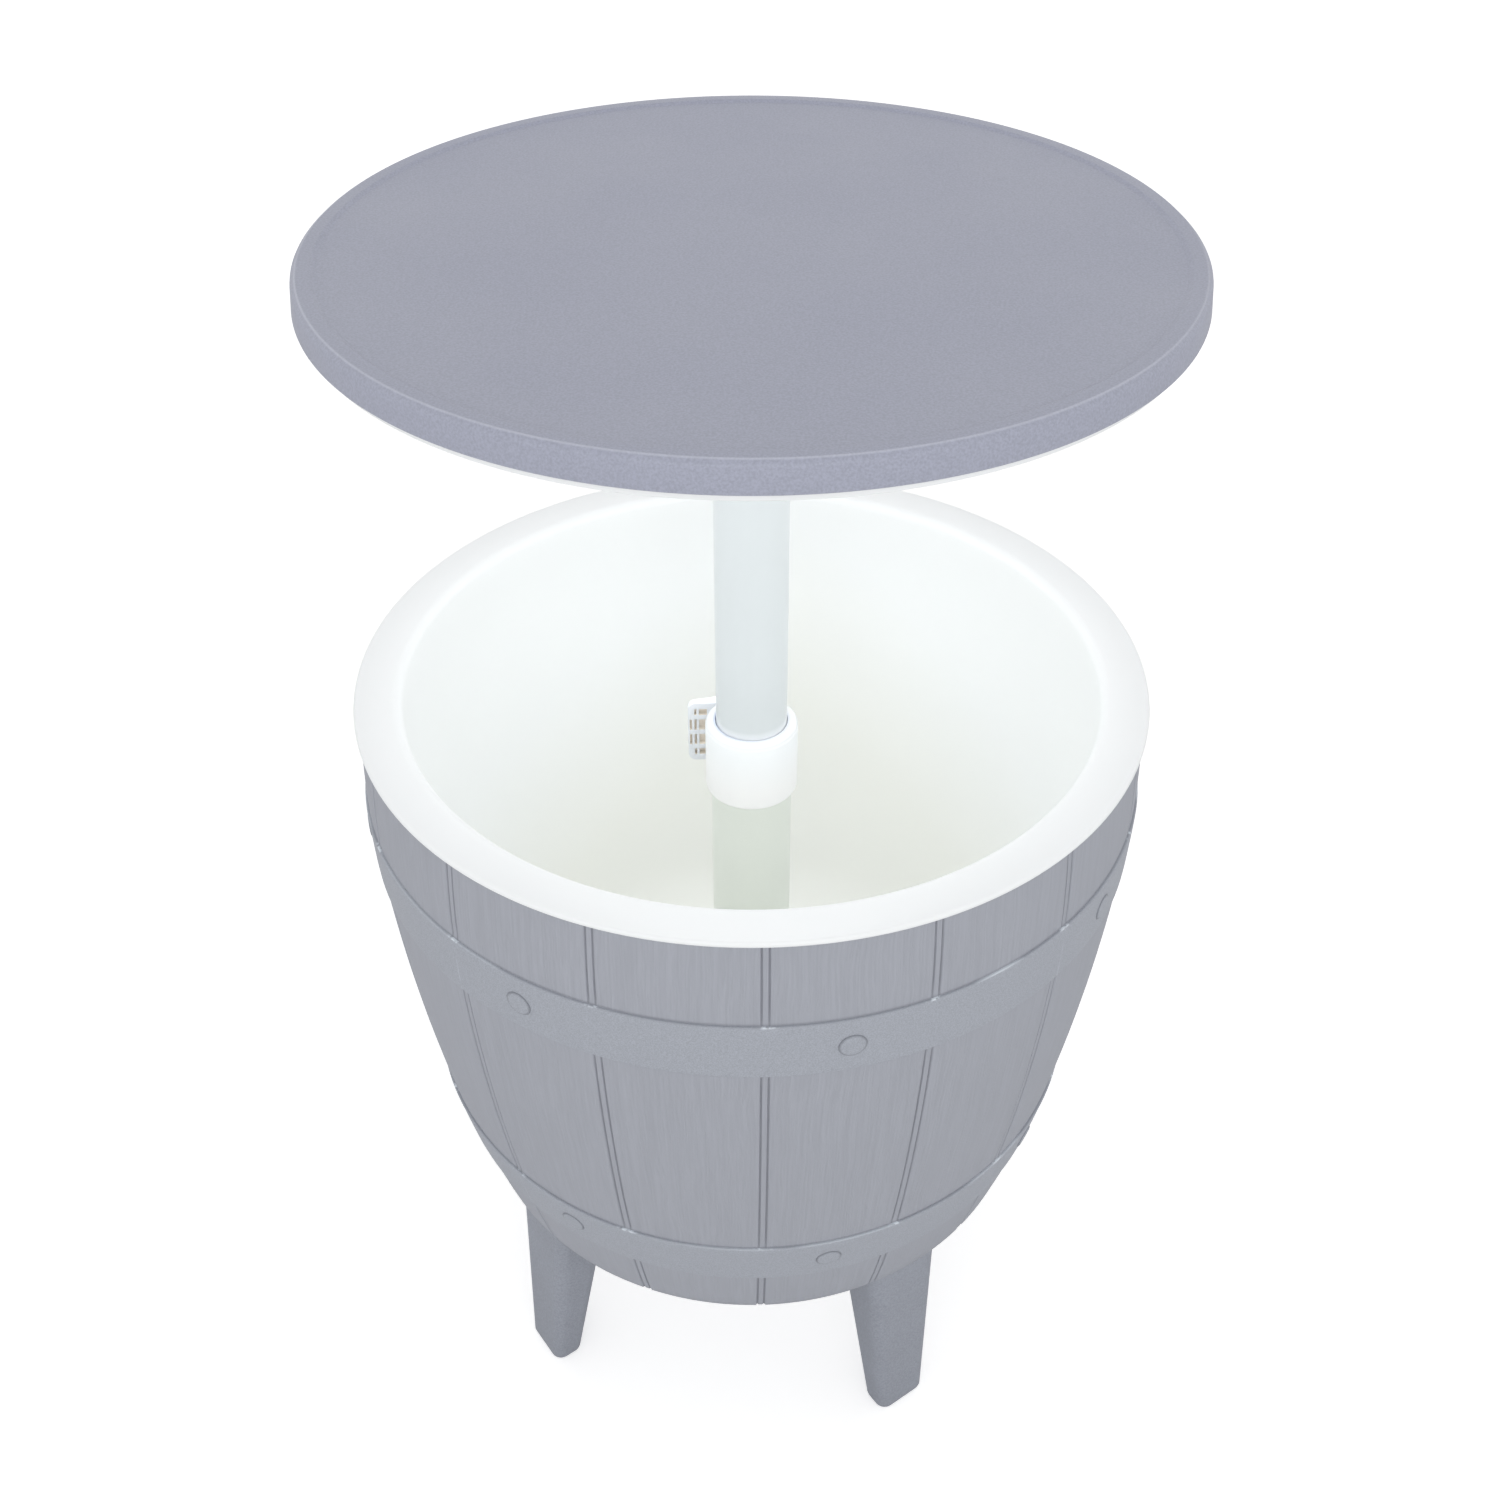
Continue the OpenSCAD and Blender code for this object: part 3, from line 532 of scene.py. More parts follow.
@node_group("Moulded speckle", Fine_Scale=1800.0, Slow_Scale=14.0)
def speckle_group(tree, source):
    """Fine moulded texture, and slow unevenness of a moulded surface."""
    point = object_point(tree)
    fine = noise(tree, point, source["Fine Scale"], 2.0, 0.6)
    grit = noise(tree, point, source["Fine Scale"] * 0.31, 1.0, 0.5)
    slow = noise(tree, point, source["Slow Scale"], 3.0, 0.55)
    return {"Height": grit.times_plus(0.5, fine), "Fine": fine, "Slow": slow}


@node_group("Edge light", Reach=0.6)
def edge_group(tree, source):
    """Light along worn and rounded edges, broken up by noise, and shade in hollows."""
    bend = put(tree, "ShaderNodeNewGeometry")["Pointiness"]
    broken = noise(tree, object_point(tree), 160.0, 3.0).ramp(0.35, 0.65, 0.35, 1.0)
    return {"Edge": bend.ramp(0.515, source["Reach"]) * broken, "Hollow": bend.ramp(0.485, 0.44)}


def around_barrel(tree, x, y, count, first):
    """Distance sideways, along the barrel's surface, from the nearest of some even places round it."""
    turn = (y.angle_over(x) - first) * (count / (2 * math.pi))
    off = abs(turn - turn.rounded())
    return off * (2 * math.pi / count) * distance_from_axis(tree, x, y)


def nearest_to(value, *places):
    """Distance from a value to the nearest of some places."""
    gaps = [abs(value - place) for place in places]
    result = gaps[0]
    for gap in gaps[1:]:
        result = result.at_most(gap)
    return result


@node_group("Seams and hoop edges", Channel=0.0021, Rivet_Radius=0.0078)
def seam_group(tree, source):
    """Soft masks for the two lines of a seam, the hoops' edges and the rings round the rivets."""
    x, y, z = split(tree, object_point(tree))
    seam = around_barrel(tree, x, y, STAVES, math.pi / STAVES)
    line = abs(seam - source["Channel"])
    top = nearest_to(z, *[(middle + HOOP_W / 2) * MM for middle in HOOP_MIDDLES])
    bottom = nearest_to(z, *[(middle - HOOP_W / 2) * MM for middle in HOOP_MIDDLES])
    along = around_barrel(tree, x, y, RIVETS, math.radians(FIRST_RIVET))
    up = nearest_to(z, *[middle * MM for middle in HOOP_MIDDLES])
    ring = abs((along * along + up * up).root() - source["Rivet Radius"])
    return {
        "Seam": line.ramp(0.0008, 0.0002),
        "Above": top.ramp(0.002, 0.0006),
        "Below": bottom.ramp(0.0014, 0.0004),
        "Top": top.ramp(0.0011, 0.0003),
        "Near Seam": seam.ramp(0.008, 0.002),
        "Rivet": ring.ramp(0.0008, 0.0002),
    }


@node_group("Pressed wood grain", Wander=0.02)
def stave_group(tree, source):
    """Upright wood grain pressed into the staves, and a small difference from stave to stave."""
    x, y, z = split(tree, object_point(tree))
    flat = put(tree, "ShaderNodeVectorMath", {0: xyz(tree, x, y)}, operation="NORMALIZE")[0]
    across_x, across_y, _ = split(tree, flat)
    number = (y.angle_over(x) * (STAVES / (2 * math.pi))).rounded()
    own = put(tree, "ShaderNodeTexWhiteNoise", {"W": number}, noise_dimensions="1D")[0]
    lift = own.times_plus(3.0, z)
    bow = noise(tree, xyz(tree, across_x, across_y, lift * 2.0), 9.0, 1.0)
    wander = (bow - 0.5) * source["Wander"]

    def streaks(across, along, detail):
        """Long noise along the stave, wandering slightly sideways."""
        grain = xyz(tree, (across_x + wander) * across, (across_y + wander) * across, lift * along)
        return noise(tree, grain, 1.0, detail, 0.6)

    fine = streaks(190.0, 16.0, 3.0)
    broad = streaks(42.0, 5.0, 2.0)
    height = broad.times_plus(0.6, fine.ramp(0.38, 0.62))
    return {"Height": height, "Streak": fine, "Broad": broad, "Stave": own}


@node_group("Mould parting line", First_Angle=math.radians(-123.75), Width=0.003)
def parting_group(tree, source):
    """Fine upright line where the halves of the mould met, at four places round the barrel."""
    x, y, _ = split(tree, object_point(tree))
    quarter = math.pi / 2
    local = y.angle_over(x) - source["First Angle"]
    line = abs(local - (local / quarter).rounded() * quarter).ramp(source["Width"], 0.0)
    patchy = noise(tree, object_point(tree), 90.0, 3.0).ramp(0.42, 0.6)
    return {"Line": line, "Scuff": line * patchy}


@node_group("Turning marks", Stretch=9.0)
def brushed_group(tree, source):
    """Fine turning marks on small steel parts."""
    x, y, z = split(tree, object_point(tree))
    marks = noise(tree, xyz(tree, x, y, z * source["Stretch"]), 700.0, 2.0)
    return {"Marks": marks, "Cloud": noise(tree, object_point(tree), 120.0, 3.0)}


# Materials


def use(tree, group, **values):
    """The outputs of a placed shader group with its own values."""
    inputs = {spaced(key): value for key, value in values.items()}
    return put(tree, "ShaderNodeGroup", inputs, node_tree=group())


def scaled(base, factor):
    """A colour made lighter or darker, as a socket value."""
    return tuple(min(1.0, c * factor) for c in base) + (1.0,)


def paint(name, base, build, **plain):
    """A material with a Principled shader whose plain values are set on its own sockets."""
    if name in bpy.data.materials:
        return bpy.data.materials[name]
    material = bpy.data.materials.new(name)
    material.use_nodes = True
    tree = material.node_tree
    shader = next(n for n in tree.nodes if n.type == "BSDF_PRINCIPLED")
    for key, value in plain.items():
        shader.inputs[spaced(key)].default_value = value
    look = build(tree, tuple(base))
    bump = {"Height": look["height"], "Strength": look["strength"], "Distance": look["distance"]}
    look["normal"] = put(tree, "ShaderNodeBump", bump)[0]
    for key, label in (("colour", "Base Color"), ("roughness", "Roughness"), ("normal", "Normal")):
        tree.links.new(look[key].socket, shader.inputs[label])
    material.diffuse_color = scaled(base, 1)
    return material


def satin(tree, fine, depth, rough):
    """A speckle with its fineness, and the look of a surface that gets its roughness and bump from it."""
    speckle = use(tree, speckle_group, Fine_Scale=fine)
    roughness = speckle["Slow"].ramp(0.3, 0.7, *rough)
    return speckle, {"roughness": roughness, "height": speckle["Height"], "strength": 0.5, "distance": depth}


def flecked(tree, speckle, tint, slow, fleck, reach, share=0.6):
    """A tint with slow mottling and a share of flecks, each as deep as its own amount says."""
    cloud = speckle["Slow"].tones(tint, 1 - slow, 1 + slow)
    grain = speckle["Fine"].ramp(0.5 - reach, 0.5 + reach).tones(tint, 1 - fleck, 1 + fleck)
    return mixed(tree, share, cloud, grain)


def clouded(tree, speckle, colour, low):
    """A colour with a faint slow unevenness, down to a share of its brightness."""
    return mixed(tree, 1.0, colour, speckle["Slow"].tones((1, 1, 1), low, 1), "MULTIPLY")


def shaded(wear_highlight_and_shade, body, tint):
    """A colour that is darker in hollows."""
    return (wear_highlight_and_shade["Hollow"] * 0.25).mix(body, scaled(tint, 0.8))


def moulded(name, base, fine=1500.0, depth=0.00005, rough=(0.42, 0.56), spread=0.04, edge=0.12):
    """Moulded plastic: speckled bump, slow mottling, light edges and darker hollows."""

    def build(tree, tint):
        speckle, look = satin(tree, fine, depth, rough)
        wear_highlight_and_shade = use(tree, edge_group)
        body = shaded(wear_highlight_and_shade, flecked(tree, speckle, tint, spread, spread, 0.2, 0.45), tint)
        # Painted highlight along edges, partly wear
        look["colour"] = (wear_highlight_and_shade["Edge"] * edge).mix(body, scaled(tint, 1.5))
        return look

    return paint(name, base, build)


def stave_finish(colours):
    """Satin grey staves with pressed wood grain, which the barrel's floor doesn't have."""

    def build(tree, tint):
        grain, wear_highlight_and_shade, seams = (use(tree, group) for group in (stave_group, edge_group, seam_group))
        speckle = use(tree, speckle_group, Fine_Scale=1300.0)
        wall = split(tree, object_point(tree))[2].ramp(0.1664, 0.168)
        streak = grain["Streak"].ramp(0.35, 0.65).tones(tint, 0.88, 1.1)
        body = (wall * 0.55).mix(grain["Stave"].tones(tint, 0.975, 1.025), streak)
        body = (wall * 0.3).mix(body, grain["Broad"].ramp(0.3, 0.7).tones(tint, 0.95, 1.05))
        # Painted shade in the two channels of each seam
        deep = (seams["Seam"] * 0.6).mix(body, scaled(tint, 0.62))
        # Painted shadow just above and below each hoop
        edges = seams["Above"].at_least(seams["Below"] * 0.6)
        deep = (edges * 0.4).mix(deep, scaled(tint, 0.55))
        return {
            # Painted highlight along rounded edges, partly wear
            "colour": (wear_highlight_and_shade["Edge"] * 0.25).mix(deep, scaled(tint, 1.45)),
            "roughness": grain["Streak"].ramp(0.3, 0.7, 0.5, 0.62),
            "height": speckle["Height"].times_plus(0.2, grain["Height"] * wall),
            "strength": 0.7,
            "distance": 0.00018,
        }

    return paint("Pressed stave plastic", colours.barrel, build, Specular_IOR_Level=0.3)


def hoop_finish(colours):
    """Smooth grey hoops with the mould's parting line, rings round the rivets and rubbed upper edges."""

    def build(tree, tint):
        speckle, look = satin(tree, 1300.0, 0.00005, (0.44, 0.54))
        wear_highlight_and_shade, parting, seams = (use(tree, group) for group in (edge_group, parting_group, seam_group))
        body = flecked(tree, speckle, tint, 0.03, 0.18, 0.12)
        # Painted shadow ring round each rivet
        body = (seams["Rivet"] * 0.75).mix(body, scaled(tint, 0.6))
        # Painted highlight along rounded edges, partly wear
        lit = (wear_highlight_and_shade["Edge"] * 0.15).mix(body, scaled(tint, 1.5))
        # Painted shade along the top edge of each hoop
        lined = (seams["Top"] * 0.45).mix(lit, scaled(tint, 0.82))
        point = object_point(tree)
        x, _, z = split(tree, point)
        # Painted highlight in pale stretches along the upper hoop's top edge towards the front, and scuffs
        # with painted glints where the seams meet the top edges
        front = z.ramp(0.3, 0.4, 0.35, 1.0) * x.ramp(-0.03, 0.04, 0.25, 1.0)
        highlight_stretch = noise(tree, point, 11.0, 1.0).ramp(0.5, 0.56) * front
        scuffs_and_glints = noise(tree, point, 260.0, 2.0).ramp(0.44, 0.56) * seams["Near Seam"]
        # Painted highlight and scuffs on the top edges, in a pale bluish tone
        bare = highlight_stretch.at_least(scuffs_and_glints) * seams["Top"]
        lined = (bare * 0.8).mix(lined, (0.78, 0.84, 0.9, 1))
        look["colour"] = (parting["Scuff"] * 0.35).mix(lined, scaled(tint, 1.7))
        look["height"] = seams["Rivet"].times_plus(-6.0, parting["Line"].times_plus(1.5, speckle["Height"]))
        return look

    return paint("Smooth hoop plastic", colours.hoop, build, Specular_IOR_Level=0.25)


def top_finish(colours):
    """Speckled grey with a bare line along the crease of the top, strongest towards the front."""

    def build(tree, tint):
        speckle, look = satin(tree, 800.0, 0.00008, (0.4, 0.5))
        wear_highlight_and_shade = use(tree, edge_group)
        x, y, z = split(tree, object_point(tree))
        off = abs(distance_from_axis(tree, x, y) - 0.2446)
        # Painted highlight along the crease, strongest towards the front
        crease = off.ramp(0.0008, 0.0002) * z.ramp(0.8275, 0.829) * y.ramp(0.08, -0.14, 0.04, 0.3)
        # Painted shade in hollows
        body = shaded(wear_highlight_and_shade, flecked(tree, speckle, tint, 0.04, 0.15, 0.15), tint)
        look["colour"] = crease.mix(body, (0.72, 0.74, 0.82, 1))
        return look

    return paint("Table top plastic", colours.top, build)


def bucket_finish(colours):
    """Glossy white with a faint unevenness, a shade warmer towards the floor and deeper on the rim."""

    def build(tree, tint):
        speckle, look = satin(tree, 500.0, 0.00001, (0.3, 0.34))
        x, _, z = split(tree, object_point(tree))
        # Painted shade of bounced light, warmer and deeper towards the floor and up behind the mast
        low = abs(x).times_plus(0.7, z).ramp(0.52, 0.36)
        tone = low.mix(scaled(tint, 1), scaled(colours.bucket_deep, 1))
        tone = z.ramp(0.538, 0.5425).mix(tone, scaled(tint, 0.965))
        look["colour"] = clouded(tree, speckle, tone, 0.992)
        return look

    return paint("Glossy bucket plastic", colours.bucket, build)


def collar_finish(colours):
    """Satin white, deeper and duller on its crown and bluish in the mouth round the tube."""

    def build(tree, tint):
        speckle, look = satin(tree, 900.0, 0.00002, (0.36, 0.46))
        x, y, z = split(tree, object_point(tree))
        high = z.ramp(0.4982, 0.4998)
        # Painted bluish shadow in the mouth round the tube, strongest on the left
        painted_mouth_shadow = distance_from_axis(tree, x, y).ramp(0.0253, 0.0237) * high * x.ramp(0.02, -0.022, 0.4, 0.95)
        # Painted light: full white towards the foot
        low = z.ramp(0.492, 0.462).mix(speckle["Slow"].tones(tint, 0.985, 1.01), (1, 1, 1, 1))
        # Painted shade on the crown, under the painted shadow in the mouth
        look["colour"] = painted_mouth_shadow.mix(high.mix(low, scaled(tint, 0.68)), (0.42, 0.48, 0.6, 1))
        look["roughness"] = high.times_plus(0.3, look["roughness"])
        return look

    return paint("Collar plastic", colours.fitting, build)


def tube_finish(colours):
    """Smooth powder coat of the upper tube, a shade lighter downwards and palest just over the collar."""

    def build(tree, tint):
        speckle, look = satin(tree, 700.0, 0.00002, (0.29, 0.38))
        z = split(tree, object_point(tree))[2]
        coat = z.ramp(0.77, 0.52).tones(tint, 0.95, 1.05)
        # Painted reflection: palest just over the collar
        foot = z.ramp(0.508, 0.502, 0.0, 0.7).mix(coat, (0.93, 0.95, 0.98, 1))
        look["colour"] = clouded(tree, speckle, foot, 0.985)
        return look

    return paint("Upper tube powder coat", colours.tube, build)


def metal(name, base):
    """Zinc plated steel with fine turning marks."""

    def build(tree, tint):
        marks = use(tree, brushed_group)
        return {
            "colour": marks["Cloud"].tones(tint, 0.86, 1.08),
            "roughness": marks["Marks"].ramp(0.3, 0.7, 0.29, 0.42),
            "height": marks["Marks"],
            "strength": 0.35,
            "distance": 0.00004,
        }

    return paint(name, base, build, Metallic=1.0)


def finishes(context):
    """Every finish of the table by name."""
    colours = context.scene.cooler_colours
    rubbery = {"fine": 900.0, "rough": (0.62, 0.78), "spread": 0.1, "edge": 0.08}
    white = {"fine": 900.0, "depth": 0.00002, "rough": (0.36, 0.46), "spread": 0.012, "edge": 0.05}
    cored = {"fine": 900.0, "depth": 0.00002, "rough": (0.5, 0.6), "spread": 0.02, "edge": 0.0}
    coated = {"fine": 700.0, "depth": 0.00002, "rough": (0.29, 0.38), "spread": 0.012, "edge": 0.0}
    return {
        "stave": stave_finish(colours),
        "hoop": hoop_finish(colours),
        "leg": moulded("Leg plastic", colours.leg, fine=700.0, rough=(0.48, 0.6), spread=0.26),
        "top": top_finish(colours),
        "bucket": bucket_finish(colours),
        "fitting": moulded("White fitting plastic", colours.fitting, **white),
        "collar": collar_finish(colours),
        "lever": moulded("Lever plastic", colours.lever, **white),
        "pocket": moulded("Pocket plastic", colours.pocket, **cored),
        # Painted warm shade in the lever's pockets
        "tube": tube_finish(colours),
        "lower tube": moulded("Lower tube powder coat", colours.lower_tube, **coated),
        "steel": metal("Zinc plated steel", colours.steel),
        "rubber": moulded("Black rubber", colours.rubber, **rubbery),
    }


# Outlines of the barrel and the bucket


def barrel_r(z):
    """Radius of the staves' faces at a height."""
    if z > BELLY_Z:
        return BELLY_R - 1.8 * ((z - BELLY_Z) / (TOP_EDGE - BELLY_Z)) ** 2
    x = (BELLY_Z - max(z, UNDERSIDE)) / (BELLY_Z - UNDERSIDE)
    return BELLY_R - 51.8 * (0.87 * x**1.6 + 0.13 * x**5)


def bucket_wall(z):
    """Radius of the bucket's outer face at a height."""
    return barrel_r(z) - BUCKET_SET_IN


def bowl_line(low, corner, inset, steps=12, rows=26):
    """The bucket's wall from its floor's edge up to the rim's inner rounding."""
    points = []
    for a in [math.radians(a) for a in between(0, 90, steps)]:
        z = low + corner * (1 - math.cos(a))
        points.append((bucket_wall(z) - inset - corner * (1 - math.sin(a)), z))
    for z in between(low + corner, RIM_TOP - MOUTH_R, rows)[1:]:
        points.append((bucket_wall(z) - inset, z))
    return points


def wall_lean(z):
    """Angle by which the wall leans outwards at a height, in radians."""
    return math.atan((barrel_r(z + 2) - barrel_r(z - 2)) / 4)


# Section of half a seam: distance from its middle and depth, as shares of half its width and of its depth
SEAM_PROFILE = (
    (0, 0.3), (0.25, 0.3), (0.42, 0.34), (0.5, 0.55), (0.56, 0.88), (0.64, 1.0), (0.72, 0.96), (0.8, 0.66),
    (0.88, 0.3), (0.97, 0.08), (1.08, 0),
)


def seam_share(z, ramp):
    """How deep the seam is at a height: none under the hoops, and a ramp up to their edges."""
    gaps = [abs(z - middle) - HOOP_W / 2 for middle in HOOP_MIDDLES]
    return max(0.0, min(1.0, min(gaps) / ramp))


def stave_rows(ramp, foot=1.5, top=0.8, inner_r=90, step=7):
    """A stave's section, out along the floor and back inside, as (radius, height, share of the seam)."""
    marks = [UNDERSIDE + foot, 539.6]
    for middle in HOOP_MIDDLES:
        marks += [middle + side * (HOOP_W / 2 + extra) for side in (-1, 1) for extra in (0, ramp)]
    marks.sort()
    heights = [marks[0]]
    for low, high in zip(marks, marks[1:]):
        heights += between(low, high, max(1, round((high - low) / step)))[1:]
    inside = UNDERSIDE + BARREL_FLOOR_T
    foot_r, top_r = barrel_r(UNDERSIDE), barrel_r(TOP_EDGE)
    rows = [(0, UNDERSIDE, 0), (inner_r, UNDERSIDE, 0), (foot_r - 6, UNDERSIDE, 0)]
    rows += [(r, z, 1) for r, z in arc(foot_r - foot, UNDERSIDE + foot, foot, -90, 0, 4)[:-1]]
    rows += [(barrel_r(z), z, seam_share(z, ramp)) for z in heights]
    rows += [(r, z, 1) for r, z in arc(top_r - top, TOP_EDGE - top, top, 0, 90, 3)]
    rows += [(barrel_r(z) - SHELL_T, z, 0) for z in between(TOP_EDGE, inside, 14)]
    return rows + [(inner_r, inside, 0), (0, inside, 0)]


def stave_mesh(sizes):
    """One stave with half a seam on each side, its part of the barrel's inside and its slice of the floor."""
    half_seam, depth = sizes.seam_width / MM / 2, sizes.seam_depth / MM
    half = math.pi / STAVES
    side = [(share * half_seam, deep * depth) for share, deep in SEAM_PROFILE]
    bm = bmesh.new()
    rings = []
    for r, z, share in stave_rows(sizes.seam_ramp / MM):
        if r == 0:
            rings.append([bm.verts.new((0, 0, z))])
            continue
        edge = half - side[-1][0] / r
        columns = [(-half + s / r, d) for s, d in side]
        columns += [(a, 0) for a in between(-edge, edge, 10)[1:-1]]
        columns += [(half - s / r, d) for s, d in reversed(side)]
        rings.append([bm.verts.new(polar(r - d * share, a, z)) for a, d in columns])
    for lower, upper in zip(rings, rings[1:]):
        bridge(bm, lower, upper, closed=False)
    return finished(bm, "stave")


def hoop_outline(middle, proud, edge=1.0, lap=1.3):
    """Section of a hoop that follows the staves' curve, with rounded edges."""
    low, high = middle - HOOP_W / 2, middle + HOOP_W / 2
    points = [(barrel_r(low) - lap, low)]
    points += arc(barrel_r(low) + proud - edge, low + edge, edge, -90, 0, 5)
    points += [(barrel_r(z) + proud, z) for z in between(low + edge, high - edge, 8)[1:-1]]
    points += arc(barrel_r(high) + proud - edge, high - edge, edge, 0, 90, 5)
    return points + [(barrel_r(high) - lap, high)]


def rivet_mesh(middle, sizes):
    """A flat rivet head with a fine step round its edge, looking along +X at its hoop's height."""
    r, h = sizes.rivet_radius / MM, sizes.rivet_height / MM
    step = h * 0.62
    outline = [(0, -0.9), (r, -0.9)] + arc(r - 0.35, step - 0.35, 0.35, 0, 90, 3) + [(r - 0.75, step)]
    outline += arc(r - 1.25, h - 0.3, 0.3, 0, 90, 3) + [(r * 0.5, h + 0.02), (0, h + 0.04)]
    mesh = turned("rivet", outline, 48, sharp=40)
    seat = Matrix.Translation((sizes.hoop_proud + barrel_r(middle) * MM, 0, middle * MM))
    mesh.transform(seat @ Matrix.Rotation(math.pi / 2 + wall_lean(middle), 4, "Y"))
    return mesh


# Steps of the build


class Step:
    """What the steps share: each builds its pieces from the scene's sizes and finishes."""

    def execute(self, context):
        self.build(context.scene.cooler_sizes, finishes(context))
        return {"FINISHED"}


class COOLER_OT_barrel(Step, bpy.types.Operator):
    """Makes the staves, the hoops and the rivet heads"""

    bl_idname = "cooler.barrel"
    bl_label = "Barrel"

    def build(self, sizes, finish):
        staves = ring_of(stave_mesh(sizes), STAVES, 0, 0, finish["stave"])
        hole = rod("drain hole", DRAIN_BORE, 160, 171, centre=(0, DRAIN_Y))
        hole.materials.append(finish["stave"])
        pieces = [("barrel_staves", carved(staves, hole), "stave")]
        for name, middle in zip(("hoop_upper", "hoop_lower"), HOOP_MIDDLES):
            pieces.append((name, turned(name, hoop_outline(middle, sizes.hoop_proud / MM)), "hoop"))
        heads = [rivet_mesh(middle, sizes) for middle in HOOP_MIDDLES]
        heads = [ring_of(head, RIVETS, 0, FIRST_RIVET, finish["hoop"], 40) for head in heads]
        pieces.append(("rivet_heads", joined("rivet_heads", *heads), "hoop"))
        for name, mesh, look in pieces:
            placed(name, mesh, finish[look], "base", "barrel_grey", "outer_shell")


class COOLER_OT_bucket(Step, bpy.types.Operator):
    """Makes the white bucket with its wide rim"""

    bl_idname = "cooler.bucket"
    bl_label = "Bucket"

    def build(self, sizes, finish):
        mouth_z = RIM_TOP - MOUTH_R
        # Up the outside, round the groove over the barrel's edge and the rim, and down the inside
        outline = [(0, BUCKET_LOW)] + [p for p in bowl_line(BUCKET_LOW, 48, 0) if p[1] < TOP_EDGE - 1]
        outline += [(bucket_wall(TOP_EDGE), TOP_EDGE), (238.1, TOP_EDGE), (238.1, 535), (241.1, 535)]
        outline += [(241.1, TOP_EDGE), (247.2, TOP_EDGE)] + arc(246, RIM_TOP - 2, 2, -60, 90, 9)
        outline += arc(bucket_wall(mouth_z) - BUCKET_T + MOUTH_R, mouth_z, MOUTH_R, 90, 180, 12)
        inside = BUCKET_LOW + BUCKET_T
        outline += [p for p in reversed(bowl_line(inside, 45, BUCKET_T)) if p[1] < mouth_z - 0.01]
        mesh = turned("bucket", outline + [(0, inside)])
        hole = rod("drain hole", DRAIN_BORE, 168, 180, centre=(0, DRAIN_Y))
        for cut in (hole, mesh):
            cut.materials.append(finish["bucket"])
        placed("bucket", carved(mesh, hole), finish["bucket"], "base", "bucket_white", "inner_bucket")


def rounded_box(face, width, depth, corner, z, turn, steps=7):
    """A rounded rectangle seen from above, its outer side at a distance from the mast and turned round it."""
    loop = []
    for sx, sy, start in ((0, 1, 0), (1, 1, 90), (1, -1, 180), (0, -1, 270)):
        x = face - corner if sx == 0 else face - depth + corner
        y = sy * (width / 2 - corner)
        loop += arc(x, y, corner, start, start + 90, steps)
    cos, sin = math.cos(turn), math.sin(turn)
    return [(x * cos - y * sin, x * sin + y * cos, z) for x, y in loop]


class COOLER_OT_legs(Step, bpy.types.Operator):
    """Makes the four tapered legs"""

    bl_idname = "cooler.legs"
    bl_label = "Legs"

    def build(self, sizes, finish):
        sections, round_to = [], 4
        for z, inset in ((0, 3), (0.5, 2.1), (1.3, 1.2), (2.4, 0.5), (round_to, 0)):
            sections.append((LEG_FACE - inset, LEG_W - 2 * inset, LEG_T - 2 * inset, LEG_CORNER - inset, z))
        for z in between(round_to, UNDERSIDE, 14)[1:]:
            share = (z - round_to) / (UNDERSIDE - round_to)
            growth = zip((LEG_FACE, LEG_W, LEG_T, LEG_CORNER), (-7.3, 21, 22, 3))
            sections.append((*(size + extra * share for size, extra in growth), z))
        for number, name in enumerate(("front_left", "front_right", "rear_right", "rear_left")):
            turn = math.radians(225 + 90 * number)
            mesh = stacked("leg_" + name, [rounded_box(*section, turn) for section in sections], 40)
            placed("leg_" + name + "_shell", mesh, finish["leg"], "base", "leg_grey", "leg_" + name)


def tube_outline(radius, bore, low, high, bored_to, middles, edge=0.3):
    """A tube with softened ends, up its outside and back down its bore as far as it shows."""
    side = [(radius - edge, low), (radius, low + edge)] + [(radius, z) for z in middles]
    return [(bore, low), *side, (radius, high - edge), (radius - edge, high), (bore, high), (bore, bored_to)]


class COOLER_OT_mast(Step, bpy.types.Operator):
    """Makes the two tubes, their foot, their wear ring and their plug"""

    bl_idname = "cooler.mast"
    bl_label = "Mast"

    def build(self, sizes, finish):
        upper = tube_outline(UPPER_TUBE, UPPER_BORE, 457.5, SEAT_Z, 625, (560, 680))
        lower = tube_outline(LOWER_TUBE, LOWER_BORE, 179.5, 469.9, 325, (280, 380))
        foot = [(0, 176.5), (52, 176.5)] + arc(50.5, 181, 1.5, 0, 90, 4)
        foot += arc(34.25, 185.5, 3, 270, 180, 6) + arc(30.25, 211.5, 1, 0, 90, 3)
        foot += [(26.25, 212.5), (26.25, 179.5), (0, 179.5)]
        ring = [(18.5, 448.1), (24.1, 448.1), (24.5, 448.5), (24.5, 457), (24.1, 457.4), (18.5, 457.4)]
        plug = [(0, 446), (24.0, 446), (24.35, 446.3), (24.35, 448), (18.4, 448), (18.4, 457.5)]
        plug += [(21.35, 457.5), (21.35, 477), (20.9, 477.5), (0, 477.5)]
        for name, outline, turns, look, body, slot, node in (
            ("mast_upper", upper, 128, "tube", "table", "tube_green", "upper_tube"),
            ("mast_lower", lower, 128, "lower tube", "base", "tube_green", "lower_tube"),
            ("mast_foot", foot, 128, "fitting", "base", "fitting_white", "mast_base"),
            ("wear_ring", ring, 96, "fitting", "slide", "fitting_white", "mast_glide"),
            ("mast_plug", plug, 96, "fitting", "table", "fitting_white", "tube_plug"),
        ):
            placed(name, turned(name, outline, turns), finish[look], body, slot, node)
        dressed("mast_gasket", finish["rubber"])


